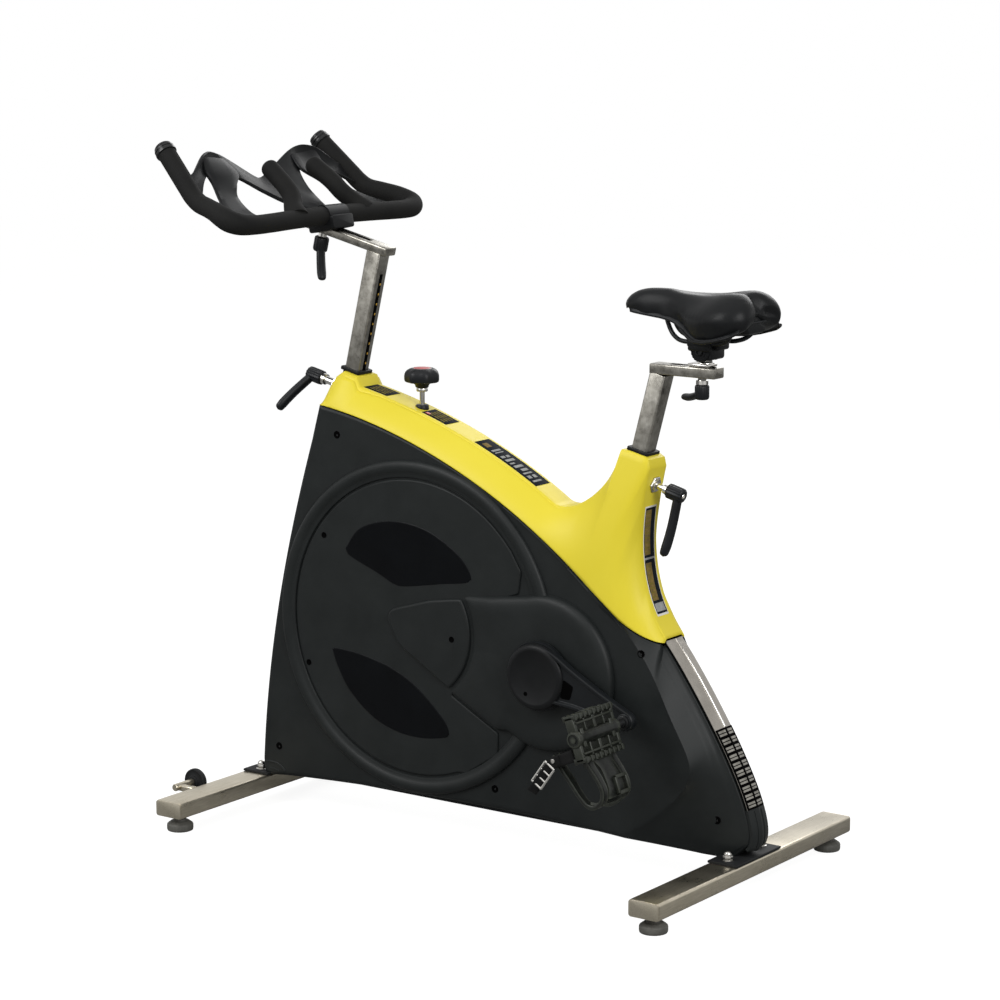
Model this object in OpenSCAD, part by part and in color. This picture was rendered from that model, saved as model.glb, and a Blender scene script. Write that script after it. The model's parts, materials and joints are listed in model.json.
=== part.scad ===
// Indoor cycling bike: covered belt drive, sliding posts, four-grip handlebar.
// Millimetres. +X is the rear (saddle), -X the front (handlebar), -Y the rider's left, +Z up, floor at Z = 0.

/* [Stance] */
// Distance between the two foot bars
bar_spacing = 900; // [860:5:960]
// Length of each foot bar
bar_len = 560; // [520:5:600]
// Width of a foot bar, front to rear
bar_w = 52; // [48:1:56]
// Height of a foot bar
bar_h = 26; // [24:1:28]
// Clear height under the foot bars
bar_z = 26; // [24:1:30]

/* [Drive] */
// Radius of the flywheel
wheel_r = 222; // [200:1:224]
// Thickness of the flywheel's rim
wheel_t = 24; // [20:1:26]
// Length of each crank, centre to centre
crank_len = 170; // [165:1:172]
// Angle of the left crank below the horizontal
crank_drop = 15.5; // [10:0.5:20]
// Radius of the crank's belt pulley
big_pulley_r = 104; // [100:1:106]
// Radius of the flywheel's belt pulley
small_pulley_r = 32; // [30:1:34]

/* [Posts] */
// Side of the square posts
post_w = 28; // [26:1:30]
// Lean of the handlebar post from the vertical
front_lean = 13.4; // [12:0.1:15]
// Lean of the seat post from the vertical
seat_lean = 15; // [14:0.1:16]

/* [Covers] */
// Half thickness of the covered body
body_half = 58; // [56:1:60]
// Wall of the moulded covers
wall = 3; // [2.5:0.5:3.5]
// Radius of the round flywheel cover
round_cover_r = 267; // [262:1:268]

/* [Handlebar] */
// Half width of the handlebar between tube centres
grip_half = 229; // [220:1:236]
// Radius of the coated handlebar tube
grip_r = 15; // [14:0.5:16]

/* [Hidden] */
$fn = 48;
front_x = -424;
rear_x = front_x + bar_spacing;
axle = [-97, 0, 338];
crank = [157, 0, 300];
frame_t = 2;
eps = 0.01;

// Cubic curve through p0 and p3, pulled towards p1 and p2
function curve(p0, p1, p2, p3, n = 12) = [for (i = [0:n]) let (t = i / n, s = 1 - t)
    s * s * s * p0 + 3 * s * s * t * p1 + 3 * s * t * t * p2 + t * t * t * p3];
function unit(v) = v / norm(v);
function tail(list) = [for (i = [1:len(list) - 1]) list[i]];
function mirrored(list) = [for (p = list) [p.x, -p.y, p.z]];
function backwards(list) = [for (i = [len(list) - 1:-1:0]) list[i]];

// Quads of a closed tube of rings, with both ends capped
function ring_faces(rings, sides) = concat(
    [for (i = [0:rings - 2], j = [0:sides - 1])
        [i * sides + j, i * sides + (j + 1) % sides,
         (i + 1) * sides + (j + 1) % sides, (i + 1) * sides + j]],
    [[for (j = [sides - 1:-1:0]) j]],
    [[for (j = [0:sides - 1]) (rings - 1) * sides + j]]);

function tangent(path, i) = unit(path[min(i + 1, len(path) - 1)] - path[max(i - 1, 0)]);

// Round tube along a path; "dome" rounds its far end off by that length
module sweep(path, r, sides = 12, dome = 0) {
    last = len(path) - 1;
    rounds = dome > 0 ? [for (a = [25:25:75]) a] : [];
    points = [for (i = [0:last + len(rounds)]) let (t = tangent(path, min(i, last)),
            n = unit(cross([0, 0, 1], t)), m = cross(t, n), a = i > last ? rounds[i - last - 1] : 0,
            p = path[min(i, last)] + dome * sin(a) * t)
        for (j = [0:sides - 1]) p + r * cos(a) * (cos(360 * j / sides) * n - sin(360 * j / sides) * m)];
    polyhedron(points, ring_faces(last + 1 + len(rounds), sides), convexity = 6);
}

// Flat strap along a path: w is its whole width along "across", t its thickness
module strap(path, across, w, t) {
    points = [for (i = [0:len(path) - 1]) let (a = unit(across), n = unit(cross(a, tangent(path, i))))
        for (c = [[-1, -1], [1, -1], [1, 1], [-1, 1]]) path[i] + c.x * w / 2 * a + c.y * t / 2 * n];
    polyhedron(points, ring_faces(len(path), 4), convexity = 6);
}

// Places children at p with their Z axis leaned back by "lean" from the vertical
module leaned(p, lean) {
    translate(p) rotate([0, lean, 0]) children();
}

// Square section centred on the local Z axis, from z0 to z1
module square_bar(w, z0, z1) {
    translate([-w / 2, -w / 2, z0]) cube([w, w, z1 - z0]);
}

// Rectangular beam in the X-Z plane from a to b: wy across, d deep
module beam(a, b, wy, d, y = 0) {
    run = b - a;
    translate([a.x, y, a.y]) rotate([0, -atan2(run.y, run.x), 0])
        translate([0, -wy / 2, -d / 2]) cube([norm(run), wy, d]);
}

// Cylinder along Y from y0 to y1
module disc_y(p, r, y0, y1, r2 = undef) {
    translate([p.x, y0, p.z]) rotate([-90, 0, 0])
        cylinder(r1 = r, r2 = is_undef(r2) ? r : r2, h = y1 - y0);
}

// ---- where the posts run ----
front_top = [-209.5, 0, 920];
seat_top = [321.8, 0, 768];
function on_post(top, lean, z) = [top.x + (z - top.z) * tan(lean), 0, z];
front_collar = on_post(front_top, front_lean, 727);
seat_collar = on_post(seat_top, seat_lean, 647);
function on_front(s) = front_collar + s * [sin(front_lean), 0, cos(front_lean)];
function on_seat(s) = seat_collar + s * [sin(seat_lean), 0, cos(seat_lean)];
front_post_up = norm(front_top - front_collar);
seat_post_up = norm(seat_top - seat_collar);
sleeve_w = post_w + 7;
bush_w = post_w + 3;
// where the clamp screws cross the posts, measured from the collars
front_screw = -32;
seat_screw = -40;

// ---- outlines of the covers, as X and Z ----
brow = [-285, 677];
spine_top = [349, 366];
seam_low = concat(
    curve(brow, [-120, 655], [60, 575], [177, 483], 20),
    tail(curve([177, 483], [232, 441], [285, 382], spine_top, 14)));
spine = curve(spine_top, [401, 283], [470, 180], [499, 70], 10);
sole = curve([455, 51], [250, 76], [0, 76], [-250, 55], 12);
nose_edge = concat(curve([-413, 78], [-400, 300], [-345, 500], brow, 14));

// Upper line of the top cover, and the seam line it is ruled to, station by station
function crown(n) = concat(
    [brow + [0, 4], [-284, 703], [-276, 720], [-262, 729], [-233, 722]],
    curve([-226, 706], [-106, 680], [23, 635], [143, 558], n),
    tail(curve([143, 558], [173, 539], [249, 585], [266, 652], n - 2)),
    [[292, 648], [314, 642]],
    tail(curve([318, 632], [300, 560], [281, 455], spine_top + [0, 6], n)));

/* ------------------------------- feet bars ------------------------------- */
module foot_bar(x) {
    difference() {
        translate([x - bar_w / 2, -bar_len / 2 + 2, bar_z]) cube([bar_w, bar_len - 4, bar_h]);
        translate([x - bar_w / 2 + frame_t, -bar_len / 2, bar_z + frame_t])
            cube([bar_w - 2 * frame_t, bar_len, bar_h - 2 * frame_t]);
        for (y = foot_ys) translate([x, y, bar_z - 1]) cylinder(r = stud_r + 0.05, h = 10);
        for (y = bolt_ys) translate([x, y, bar_z + bar_h - 10]) cylinder(r = 4.2, h = 20);
    }
}
foot_ys = [-252, 252];
bolt_ys = [-48, 48];
stud_r = 5;
wheel_x = front_x - 57;
wheel_y = 148;
wheel_z = 48;

module wheel_stub(side) {
    disc_y([wheel_x, 0, wheel_z], 6, side > 0 ? wheel_y + 9 : -wheel_y - 52, side > 0 ? wheel_y + 52 : -wheel_y - 9);
    disc_y([wheel_x, 0, wheel_z], 4, side > 0 ? wheel_y - 12 : -wheel_y - 9 - eps, side > 0 ? wheel_y + 9 + eps : -wheel_y + 12);
    disc_y([wheel_x, 0, wheel_z], 7, side > 0 ? wheel_y - 13 : -wheel_y + 10, side > 0 ? wheel_y - 10 : -wheel_y + 13);
    translate([wheel_x, side * (wheel_y + 40) - 6, wheel_z - 6])
        cube([-wheel_x + front_x - bar_w / 2, 12, 10]);
}
module front_foot_bar() {
    color("#a39b8c") union() {
        foot_bar(front_x);
        for (side = [-1, 1]) wheel_stub(side);
    }
}
module rear_foot_bar() {
    color("#a39b8c") foot_bar(rear_x);
}
module foot_bar_end_caps() {
    color("#8f887b") for (x = [front_x, rear_x], side = [-1, 1])
        translate([x - bar_w / 2, side * (bar_len / 2 - 1) - 1, bar_z]) cube([bar_w, 2, bar_h]);
}

/* -------------------------------- main frame ----------------------------- */
rail_z = 67;
rail_d = 30;
head_low = on_front(-240);
fork_z = 74;
// The tubes themselves; "gap" grows them for the room that the casing leaves round them
module frame_tubes(gap = 0) {
    leaned(front_collar, front_lean) square_bar(sleeve_w + gap, -240 - gap, -12 + gap);
    leaned(seat_collar, seat_lean)
        square_bar(sleeve_w + gap, -(seat_collar.z - rail_z) / cos(seat_lean), -12 + gap);
    beam([front_x + 4, rail_z], [rear_x - 26, rail_z], 40 + gap, rail_d + gap);
    beam([front_x + 32, rail_z], [head_low.x, head_low.z + 20], 38 + gap, 28 + gap);
    beam([on_front(-90).x, on_front(-90).z], [on_seat(-150).x, on_seat(-150).z], 38 + gap, 30 + gap);
    beam([on_seat(-230).x, on_seat(-230).z], [rear_x - 20, rail_z], 38 + gap, 26 + gap);
    // clamp screw bosses on the two post sleeves
    leaned(on_front(front_screw), front_lean - 90) cylinder(r = 9 + gap / 2, h = 30);
    leaned(on_seat(seat_screw), seat_lean + 90) cylinder(r = 9 + gap / 2, h = 34);
    // wheel fork: two plates and the block that carries them
    for (y = [-52, 34]) {
        disc_y(axle, 22, y, y + 5);
        translate([axle.x - 20, y, fork_z]) cube([40, 5, axle.z - fork_z]);
    }
    translate([axle.x - 30, -52, fork_z]) cube([60, 91, 18]);
}
module main_frame() {
    color("#2c2d2f") difference() {
        union() {
            frame_tubes();
            disc_y(crank, 21, -24, 42);
            translate([crank.x, -18, crank.z - 14]) cube([36, 36, 28]);
        }
        leaned(front_collar, front_lean) square_bar(bush_w, -241, 1);
        leaned(seat_collar, seat_lean) square_bar(bush_w, -270, 1);
        leaned(on_front(front_screw), front_lean - 90) cylinder(r = 5.05, h = 50);
        leaned(on_seat(seat_screw), seat_lean + 90) cylinder(r = 5.05, h = 50);
        disc_y(crank, 17.5, -25, 43);
        disc_y(axle, 8.5, -60, 60);
        translate([brake_x, 0, 480]) cylinder(r = 8, h = 200);
    }
}
brake_x = -124;

module bushing(collar, lean, depth) {
    leaned(collar, lean) difference() {
        union() {
            square_bar(bush_w, -depth, 0);
            square_bar(post_w + 8, 0, 6);
        }
        square_bar(post_w + 0.1, -depth - 1, 8);
        translate([collar.x < 0 ? -bush_w / 2 - 1 : post_w / 2 - 2, 0, collar.x < 0 ? front_screw : seat_screw])
            rotate([0, 90, 0]) cylinder(r = 5.6, h = 5);
    }
}
module post_bushings() {
    color("#1b1c1e") {
        bushing(front_collar, front_lean, 110);
        bushing(seat_collar, seat_lean, 110);
    }
}

/* --------------------------------- covers -------------------------------- */
// Points moved sideways by d, to the left of the direction of travel
function shifted(list, d) = [for (i = [0:len(list) - 1]) let (t = tangent(list, i)) list[i] + d * [-t.y, t.x]];

// Plate in the X-Z plane from y0 to y1
module plate(outline, y0, y1) {
    translate([0, y1, 0]) rotate([90, 0, 0]) linear_extrude(y1 - y0, convexity = 8) polygon(outline);
}

// Block that is full width ahead of the tail and narrows towards the spine
tail_lean = atan2(499 - spine_top.x, spine_top.y - 70);
module tapering(inset) {
    half = body_half - inset;
    translate([spine_top.x + 12, 0, spine_top.y]) rotate([0, -tail_lean, 0])
        linear_extrude(1600, center = true)
            polygon([[-900, -half], [-58, -half], [-inset, -24 + inset], [24, -16 + inset], [60, -inset],
                     [60, inset], [24, 16 - inset], [-inset, 24 - inset], [-58, half], [-900, half]]);
}

// Half of the black casing: side = -1 left, 1 right
module side_shell(side) {
    outer = concat(nose_edge, tail(seam_low), shifted(spine, -6), sole);
    inner = concat(shifted(nose_edge, -wall), [for (p = tail(seam_low)) p + [0, 24]],
                   shifted(spine, -6 - wall), shifted(sole, -wall));
    lo = side < 0 ? -body_half : 0.2;
    color("#24272a") difference() {
        intersection() {
            plate(outer, lo, lo + body_half - 0.2);
            tapering(0);
        }
        intersection() {
            plate(inner, -body_half + wall, body_half - wall);
            tapering(wall);
        }
        disc_y(axle, round_cover_r - 9, side < 0 ? -70 : 20, side < 0 ? -20 : 70);
        disc_y(crank, 26, side < 0 ? -70 : 20, side < 0 ? -20 : 70);
        // the front foot bar's mount, the clamp screw boss and the foot bars pass through here
        translate([front_x - 40, -70, 40]) cube([70, 140, 36]);
        translate([rear_x - 40, -70, 40]) cube([80, 140, 33]);
        for (p = shell_screw_places) disc_y([p.x, 0, p.y], screw_head_r + 0.2, side < 0 ? -70 : 20, side < 0 ? -20 : 70);
        frame_tubes(0.8);
        leaned(front_collar, front_lean) square_bar(post_w + 9, -60, 2);
        disc_y(guard_end, 9.4, -24, 24);
    }
}
screw_head_r = 4;
shell_screw_places = [[-250, 632], [-377, 104], [58, 101], [326, 352], [448, 110]];
module left_side_shell() { side_shell(-1); }
module right_side_shell() { side_shell(1); }
module shell_screws() {
    color("#101112") for (p = shell_screw_places, side = [-1, 1])
        let (y = shell_half(p)) disc_y([p.x, 0, p.y], screw_head_r, side < 0 ? -y - 1 : y - 6, side < 0 ? -y + 6 : y + 1);
}
// Half width of the casing at a screw
function shell_half(p) = p.x > 300 ? 46 : body_half;

// Half width of the top cover at its crown and at its seam, by station
function crown_half(f) = f < 0.12 ? 30 : f < 0.62 ? 27 - 8 * (f - 0.12) : f < 0.8 ? 24 : f < 0.93 ? 20 : 24;
function seam_half(x) = x < 230 ? body_half : 24 + (body_half - 24) * sqrt(max(0, 1 - pow((x - 230) / 119.5, 2)));
cover_n = 14;
cover_crown = crown(cover_n);
cover_last = len(cover_crown) - 1;
// Share of the seam line reached when the crown line is a share f along
function seam_share(f) = f < 0.1 ? 0.4 * f : f < 0.42 ? 0.04 + 1.45 * (f - 0.1)
    : f < 0.72 ? 0.504 + 0.75 * (f - 0.42) : 0.729 + 0.968 * (f - 0.72);
function along(list, share) = let (s = min(max(share, 0), 1) * (len(list) - 1), i = min(floor(s), len(list) - 2))
    list[i] + (s - i) * (list[i + 1] - list[i]);
function cover_ring(i, d) = let (
    f = i / cover_last, top = cover_crown[i], low = along(seam_low, seam_share(f)) + [0, 0.4],
    down = unit(low - top) * min(d, 0.5 * norm(top - low)), half = crown_half(f), foot = seam_half(low.x))
    [for (k = [0:5]) let (s = k / 5, p = low + s * (top - low) + s * down)
        [p.x, -(half + (foot - half) * (1 - pow(s, 1.7)) - d), p.y]];
module top_cover() {
    rings = [for (i = [0:cover_last]) let (o = cover_ring(i, 0), n = cover_ring(i, wall))
        concat(o, backwards(mirrored(o)), mirrored(n), backwards(n))];
    color("#e6d344") difference() {
        polyhedron([for (r = rings) each r], ring_faces(len(rings), 24), convexity = 10);
        leaned(front_collar, front_lean) square_bar(sleeve_w + 1, -60, 30);
        leaned(seat_collar, seat_lean) square_bar(sleeve_w + 1, -60, 30);
        leaned(on_front(front_screw), front_lean - 90) cylinder(r = 10, h = 80);
        leaned(on_seat(seat_screw), seat_lean + 90) cylinder(r = 15, h = 80);
        translate([brake_x, 0, 600]) cylinder(r = 9.5, h = 100);
    }
}

// Keeps a right-hand piece as it is, or mirrors it to the left
module on_side(side) {
    if (side < 0) mirror([0, 1, 0]) children();
    else children();
}

// Round cover over the flywheel: flat disc with a raised rim
module flywheel_cover(side) {
    color("#232629") on_side(side) difference() {
        union() {
            disc_y(axle, round_cover_r, body_half + 0.2, body_half + 5);
            disc_y(axle, round_cover_r - 9.3, body_half - wall, body_half + 0.3);
        }
        disc_y(axle, round_cover_r - 27, body_half + 2, body_half + 6);
        disc_y(crank, belt_cover_r + 0.3, body_half - 10, body_half + 10);
        for (w = window_places) window(w, -0.4, body_half - 5, body_half + 6);
    }
}
belt_cover_r = 122;
window_places = [[-108, 456, 122, 48], [-144, 224, 116, 58]];
// Lens-shaped window: where it is, its width and height
module window(w, gap, y0, y1) {
    half = w[2] - 0.5 * gap;
    rise = w[3] - 0.5 * gap;
    r = (half * half + rise * rise) / (2 * rise);
    intersection() {
        disc_y([w[0], 0, w[1] - r + rise], r, y0, y1);
        disc_y([w[0], 0, w[1] + r - rise], r, y0, y1);
    }
}
module left_flywheel_cover() { flywheel_cover(-1); }
module right_flywheel_cover() { flywheel_cover(1); }
module flywheel_windows() {
    color("#14171c") for (side = [-1, 1]) on_side(side)
        for (w = window_places) window(w, 0, body_half - wall, body_half + 1.4);
}

// Small hatch between the two windows, over the wheel's axle
module access_cover() {
    color("#25282b") mirror([0, 1, 0]) difference() {
        intersection() {
            disc_y(axle, 112, body_half + 2, body_half + 7);
            plate([[-144, 354], [-128, 372], [-60, 392], [40, 404], [40, 200], [-26, 245], [-120, 312]],
                  body_half + 2.2, body_half + 6);
        }
        disc_y([-20, 0, 343], 5, body_half + 4.5, body_half + 8);
    }
}

belt_cover_y = 72;
module belt_cover() {
    color("#26292c") mirror([0, 1, 0]) difference() {
        union() {
            disc_y(crank, belt_cover_r, body_half + 0.5, belt_cover_y);
            intersection() {
                plate([[-4, 399], [60, 404], [128, 416], [150, 300], [70, 190], [-28, 243]],
                      body_half + 2.3, belt_cover_y - 2);
                disc_y(crank, 200, body_half, belt_cover_y);
            }
        }
        disc_y(axle, 113.5, body_half, belt_cover_y + 5);
        disc_y(crank, 26, body_half - 5, belt_cover_y + 5);
        disc_y(crank, belt_cover_r - wall, body_half - 1, belt_cover_y - wall);
    }
}
module right_crank_cover() {
    color("#26292c") difference() {
        disc_y(crank, belt_cover_r, body_half + 0.5, body_half + 8);
        disc_y(crank, 26, body_half - 5, belt_cover_y + 5);
    }
}

// Steel spine at the tail, above a ribbed guard
guard_from = 5;
function part_of(list, from, to) = [for (i = [from:to]) list[i]];
function band(list, d0, d1) = concat(shifted(list, d0), backwards(shifted(list, d1)));
module rear_strip() {
    color("#a8a297") plate(band(part_of(spine, 0, guard_from), -5.8, -1), -23, 23);
}
guard_end = [spine[10].x - 6, 0, spine[10].y - 2];
module rear_guard() {
    color("#1d1f21") difference() {
        union() {
            plate(band(concat([spine[guard_from] + 0.7 * unit(spine[guard_from + 1] - spine[guard_from])],
                part_of(spine, guard_from + 1, 10)), -5.8, 1), -23.5, 23.5);
            disc_y(guard_end, 9, -23.5, 23.5);
        }
        for (i = [0:8]) let (p = spine[guard_from] + (i + 0.8) / 11 * (spine[9] - spine[guard_from]))
            translate([p.x, 0, p.y]) rotate([0, -tail_lean, 0]) translate([-2, -19, -2]) cube([30, 38, 4]);
    }
}

module mount_plates() {
    color("#1e2022") for (x = [front_x, rear_x]) difference() {
        translate([x - bar_w / 2, -64, bar_z + bar_h]) cube([bar_w, 128, 4]);
        for (y = bolt_ys) translate([x, y, bar_z + bar_h - 1]) cylinder(r = 4.2, h = 10);
        translate([x - bar_w, -20.2, bar_z + bar_h - 1]) cube([2 * bar_w, 40.4, 10]);
    }
}
module mount_bolts() {
    color("#d9d8d4") for (x = [front_x, rear_x], y = bolt_ys) translate([x, y, bar_z + bar_h]) {
        translate([0, 0, -8]) cylinder(r = 4, h = 14);
        translate([0, 0, 4]) cylinder(r = 9, h = 1.4);
        translate([0, 0, 5.4]) cylinder(r = 7.2, h = 6.4, $fn = 6);
        translate([0, 0, 11.8]) intersection() {
            sphere(r = 6.2);
            cylinder(r = 7, h = 7);
        }
    }
}

/* --------------------------- flywheel and drive -------------------------- */
hub_half = 22;
pulley_y0 = -44;
pulley_y1 = -30;
module flywheel_axle() {
    color("#b9b9b5") {
        disc_y(axle, 8.5, -54.8, 44);
        for (y = [-54.5, 39.1]) disc_y(axle, 13, y, y + 2.4);
    }
}
module ring_y(p, r_in, r_out, y0, y1) {
    difference() {
        disc_y(p, r_out, y0, y1);
        disc_y(p, r_in, y0 - 1, y1 + 1);
    }
}
// Sealed ball bearings: two in the wheel's hub, two in the bottom bracket
module bearings() {
    color("#b0b0ac") {
        for (y = [-hub_half + 1, hub_half - 11]) ring_y(axle, 8.5, 17.45, y, y + 10);
        for (y = [-24, 32]) ring_y(crank, 8.55, 17.5, y, y + 10);
    }
}
module flywheel() {
    color("#3a3b3d") difference() {
        union() {
            ring_y(axle, wheel_r - 42, wheel_r, -wheel_t / 2, wheel_t / 2);
            disc_y(axle, wheel_r - 40, -5, 5);
            disc_y(axle, 27, -hub_half, hub_half);
        }
        disc_y(axle, 17.5, -60, 60);
    }
}
module flywheel_pulley() {
    color("#8b8c8e") difference() {
        union() {
            disc_y(axle, small_pulley_r, pulley_y0, pulley_y1);
            disc_y(axle, 24, pulley_y1 - eps, -hub_half);
        }
        disc_y(axle, 12, -60, 60);
        ring_y(axle, small_pulley_r - 1.5, small_pulley_r + 2, pulley_y0 + 1.5, pulley_y1 - 1.5);
    }
}
belt_t = 2.4;
belt_gap = 0.35;
// Poly-V belt round the two pulleys
module belt_outline(grow) {
    big = big_pulley_r + belt_gap + grow;
    small = small_pulley_r + belt_gap + grow;
    run = [crank.x - axle.x, crank.z - axle.z];
    span = norm(run);
    slant = asin((big - small) / span);
    turn = atan2(run.y, run.x);
    translate([axle.x, axle.z]) rotate(turn) union() {
        circle(small, $fn = 96);
        translate([span, 0]) circle(big, $fn = 96);
        polygon([small * [-sin(slant), cos(slant)], [span, 0] + big * [-sin(slant), cos(slant)],
                 [span, 0] + big * [-sin(slant), -cos(slant)], small * [-sin(slant), -cos(slant)]]);
    }
}
module drive_belt() {
    color("#161616") translate([0, pulley_y1 - 2, 0]) rotate([90, 0, 0])
        linear_extrude(pulley_y1 - pulley_y0 - 4, convexity = 6) difference() {
            belt_outline(belt_t);
            belt_outline(0);
        }
}

// Felt-shoe friction brake above the wheel's rim
pad_gap = 6;
rim_top = axle.z + sqrt(pow(wheel_r, 2) - pow(brake_x - axle.x, 2));
module brake_guide() {
    color("#9c9c98") difference() {
        translate([brake_x, 0, 576]) cylinder(r = 8, h = 106);
        translate([brake_x, 0, 500]) cylinder(r = 4.05, h = 200);
    }
}
module brake_rod() {
    color("#d2d2ce") translate([brake_x, 0, rim_top + pad_gap + 11]) {
        cylinder(r = 4, h = 716 - rim_top - pad_gap - 11);
        translate([0, 0, -4]) cylinder(r = 10, h = 4);
    }
}
module brake_pad() {
    color("#6f5a3c") difference() {
        translate([brake_x - 28, -11, rim_top + pad_gap - 6]) cube([56, 22, 13]);
        disc_y(axle, wheel_r + pad_gap - 1.5, -20, 20, $fn = 360);
    }
}
module resistance_knob() {
    color("#1c1d1f") translate([brake_x, 0, 0]) difference() {
        union() {
            translate([0, 0, 712]) cylinder(r1 = 9, r2 = 11, h = 11);
            translate([0, 0, 722]) cylinder(r1 = 22, r2 = 27, h = 6);
            translate([0, 0, 728]) cylinder(r = 27, h = 11);
            translate([0, 0, 739]) cylinder(r1 = 27, r2 = 23, h = 4);
        }
        translate([0, 0, 700]) cylinder(r = 4.05, h = 16.5);
    }
}

/* ------------------------------- cranks, pedals -------------------------- */
arm_y0 = 75;
root_y = 91;
arm_y1 = 96;
arm_t = 13;
boss_r = 47;
function crank_end(side) = crank + side * -crank_len * [cos(crank_drop), 0, -sin(crank_drop)];
module crank_axle() {
    color("#a7a7a3") disc_y(crank, 8.5, -root_y + 3, root_y - 3);
}
module drive_pulley() {
    color("#2b2c2e") difference() {
        union() {
            ring_y(crank, big_pulley_r - 12, big_pulley_r, pulley_y0, pulley_y1);
            disc_y(crank, big_pulley_r - 10, pulley_y0 + 4, pulley_y1 - 4);
            disc_y(crank, 19, pulley_y0, pulley_y1 + 5);
        }
        disc_y(crank, 8.5, -60, 0);
        for (a = [0:72:288])
            disc_y(crank + 58 * [cos(a), 0, sin(a)], 22, -60, 0);
    }
}
// Forged arm with a round root; the right-hand one points the other way
module crank_arm(side) {
    color("#1f2123") on_side(side) translate(crank) rotate([0, side < 0 ? crank_drop : 180 + crank_drop, 0])
        difference() {
            union() {
                disc_y([0, 0, 0], boss_r, arm_y0, root_y);
                disc_y([crank_len, 0, 0], 17, arm_y1 - arm_t, arm_y1);
                plate([[0, 44], [crank_len, 17], [crank_len, -17], [0, -30]], arm_y1 - arm_t, arm_y1);
            }
            disc_y([0, 0, 0], boss_r + 0.3, root_y, arm_y1 + 1);
            disc_y([0, 0, 0], 8.55, 0, root_y - 2.9);
            disc_y([crank_len, 0, 0], 7.05, 60, 120);
            plate([[60, 24], [140, 11], [140, -9], [60, -14]], arm_y1 - 4, arm_y1 + 2);
        }
}
module left_crank_arm() { crank_arm(-1); }
module right_crank_arm() { crank_arm(1); }
module crank_caps() {
    color("#1b1d1f") for (side = [-1, 1]) on_side(side) {
        disc_y([crank.x, 0, crank.z], boss_r, root_y, root_y + 3, boss_r - 2);
        disc_y([crank.x, 0, crank.z], boss_r - 2, root_y + 3, root_y + 7, boss_r - 9);
    }
}
spindle_r = 6;
pedal_y0 = 122;
pedal_y1 = 230;
module pedal_spindles() {
    color("#8e8e8a") for (side = [-1, 1]) on_side(side) {
        disc_y(crank_end(side), 7, arm_y1 - arm_t, arm_y1);
        disc_y(crank_end(side), 10, arm_y1, arm_y1 + 4.5);
        disc_y(crank_end(side), spindle_r, arm_y1 + 4.5, pedal_y1 - 4);
    }
}
// The toe cage is the heavy end, so a free pedal hangs with it underneath
pedal_hang = -110;
module on_pedal(side) {
    translate(crank_end(side)) rotate([0, pedal_hang, 0]) on_side(side) children();
}
pedal_half = 36;
pedal_rise = 11;
module pedal(side) {
    color("#191a1b") on_pedal(side) difference() {
        union() {
            disc_y([0, 0, 0], 12, pedal_y0, pedal_y1);
            for (s = [-1, 1]) translate([s * (pedal_half - 4) - 4, pedal_y0 + 2, -pedal_rise])
                cube([8, pedal_y1 - pedal_y0 - 4, 2 * pedal_rise]);
            for (y = [pedal_y0 + 2, (pedal_y0 + pedal_y1) / 2 - 4, pedal_y1 - 10])
                translate([-pedal_half + 1, y, -pedal_rise + 2]) cube([2 * pedal_half - 2, 8, 2 * pedal_rise - 4]);
        }
        disc_y([0, 0, 0], spindle_r + 0.05, pedal_y0 - 1, pedal_y1 - 3);
    }
}
cage_ys = [146, 206];
module toe_cage(side) {
    route = concat([[-pedal_half - 0.3, 0, 4], [-54, 0, 6]],
        curve([-66, 0, 9], [-104, 0, 16], [-106, 0, 52], [-66, 0, 62], 6), [[-44, 0, 66]]);
    color("#1d1e1f") on_pedal(side) union() {
        for (y = cage_ys) translate([0, y, 0]) strap(route, [0, 1, 0], 15, 3.6);
        for (bridge = [[-50, 63.4, 10, 3.6], [-97.5, 28, 3.6, 12]])
            translate([bridge[0], cage_ys[0] + 6, bridge[1]])
                cube([bridge[2], cage_ys[1] - cage_ys[0] - 12, bridge[3]]);
    }
}
module pedal_strap(side) {
    middle = (pedal_y0 + pedal_y1) / 2;
    route = concat([[0, pedal_y0 + 9, pedal_rise + 1.4]],
        curve([0, pedal_y0 + 5, 30], [0, pedal_y0 + 6, 66], [0, middle - 30, 70], [0, middle, 71], 6),
        tail(curve([0, middle, 71], [0, middle + 30, 70], [0, pedal_y1 - 5, 66], [0, pedal_y1 - 4, 30], 6)),
        [[0, pedal_y1 - 8, pedal_rise + 1.4]]);
    on_pedal(side) {
        color("#151515") translate([-34, 0, 0]) strap(route, [1, 0, 0], 20, 2);
        color("#dcdad5") translate([-48, pedal_y1 - 3, 50]) cube([28, 4, 22]);
    }
}
module left_pedal() { pedal(-1); }
module right_pedal() { pedal(1); }
module left_toe_cage() { toe_cage(-1); }
module right_toe_cage() { toe_cage(1); }
module left_pedal_strap() { pedal_strap(-1); }
module right_pedal_strap() { pedal_strap(1); }

/* ------------------------------- handlebar ------------------------------- */
front_rail_h = 14;
seat_rail_h = 16;
slot_w = 10;
rail_rear = 24;
rail_front = -146;
slide_x = -114;
module handlebar_post() {
    color("#b3ab9f") leaned(front_collar, front_lean) difference() {
        union() {
            difference() {
                square_bar(post_w, -165, front_post_up);
                square_bar(post_w - 2 * frame_t, -166, front_post_up - 4);
            }
            translate([rail_front, -post_w / 2, front_post_up])
                cube([rail_rear - rail_front, post_w, front_rail_h]);
        }
        translate([rail_front + 12, -slot_w / 2, front_post_up - 1]) cube([110, slot_w, front_rail_h + 2]);
    }
}
// On top of the front rail, where the handlebar slides
rail_seat = on_front(front_post_up + front_rail_h) + slide_x * [cos(front_lean), 0, -sin(front_lean)];
module on_front_rail() {
    leaned(rail_seat, front_lean) children();
}
bar_centre = [-302, 0, 975];
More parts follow.
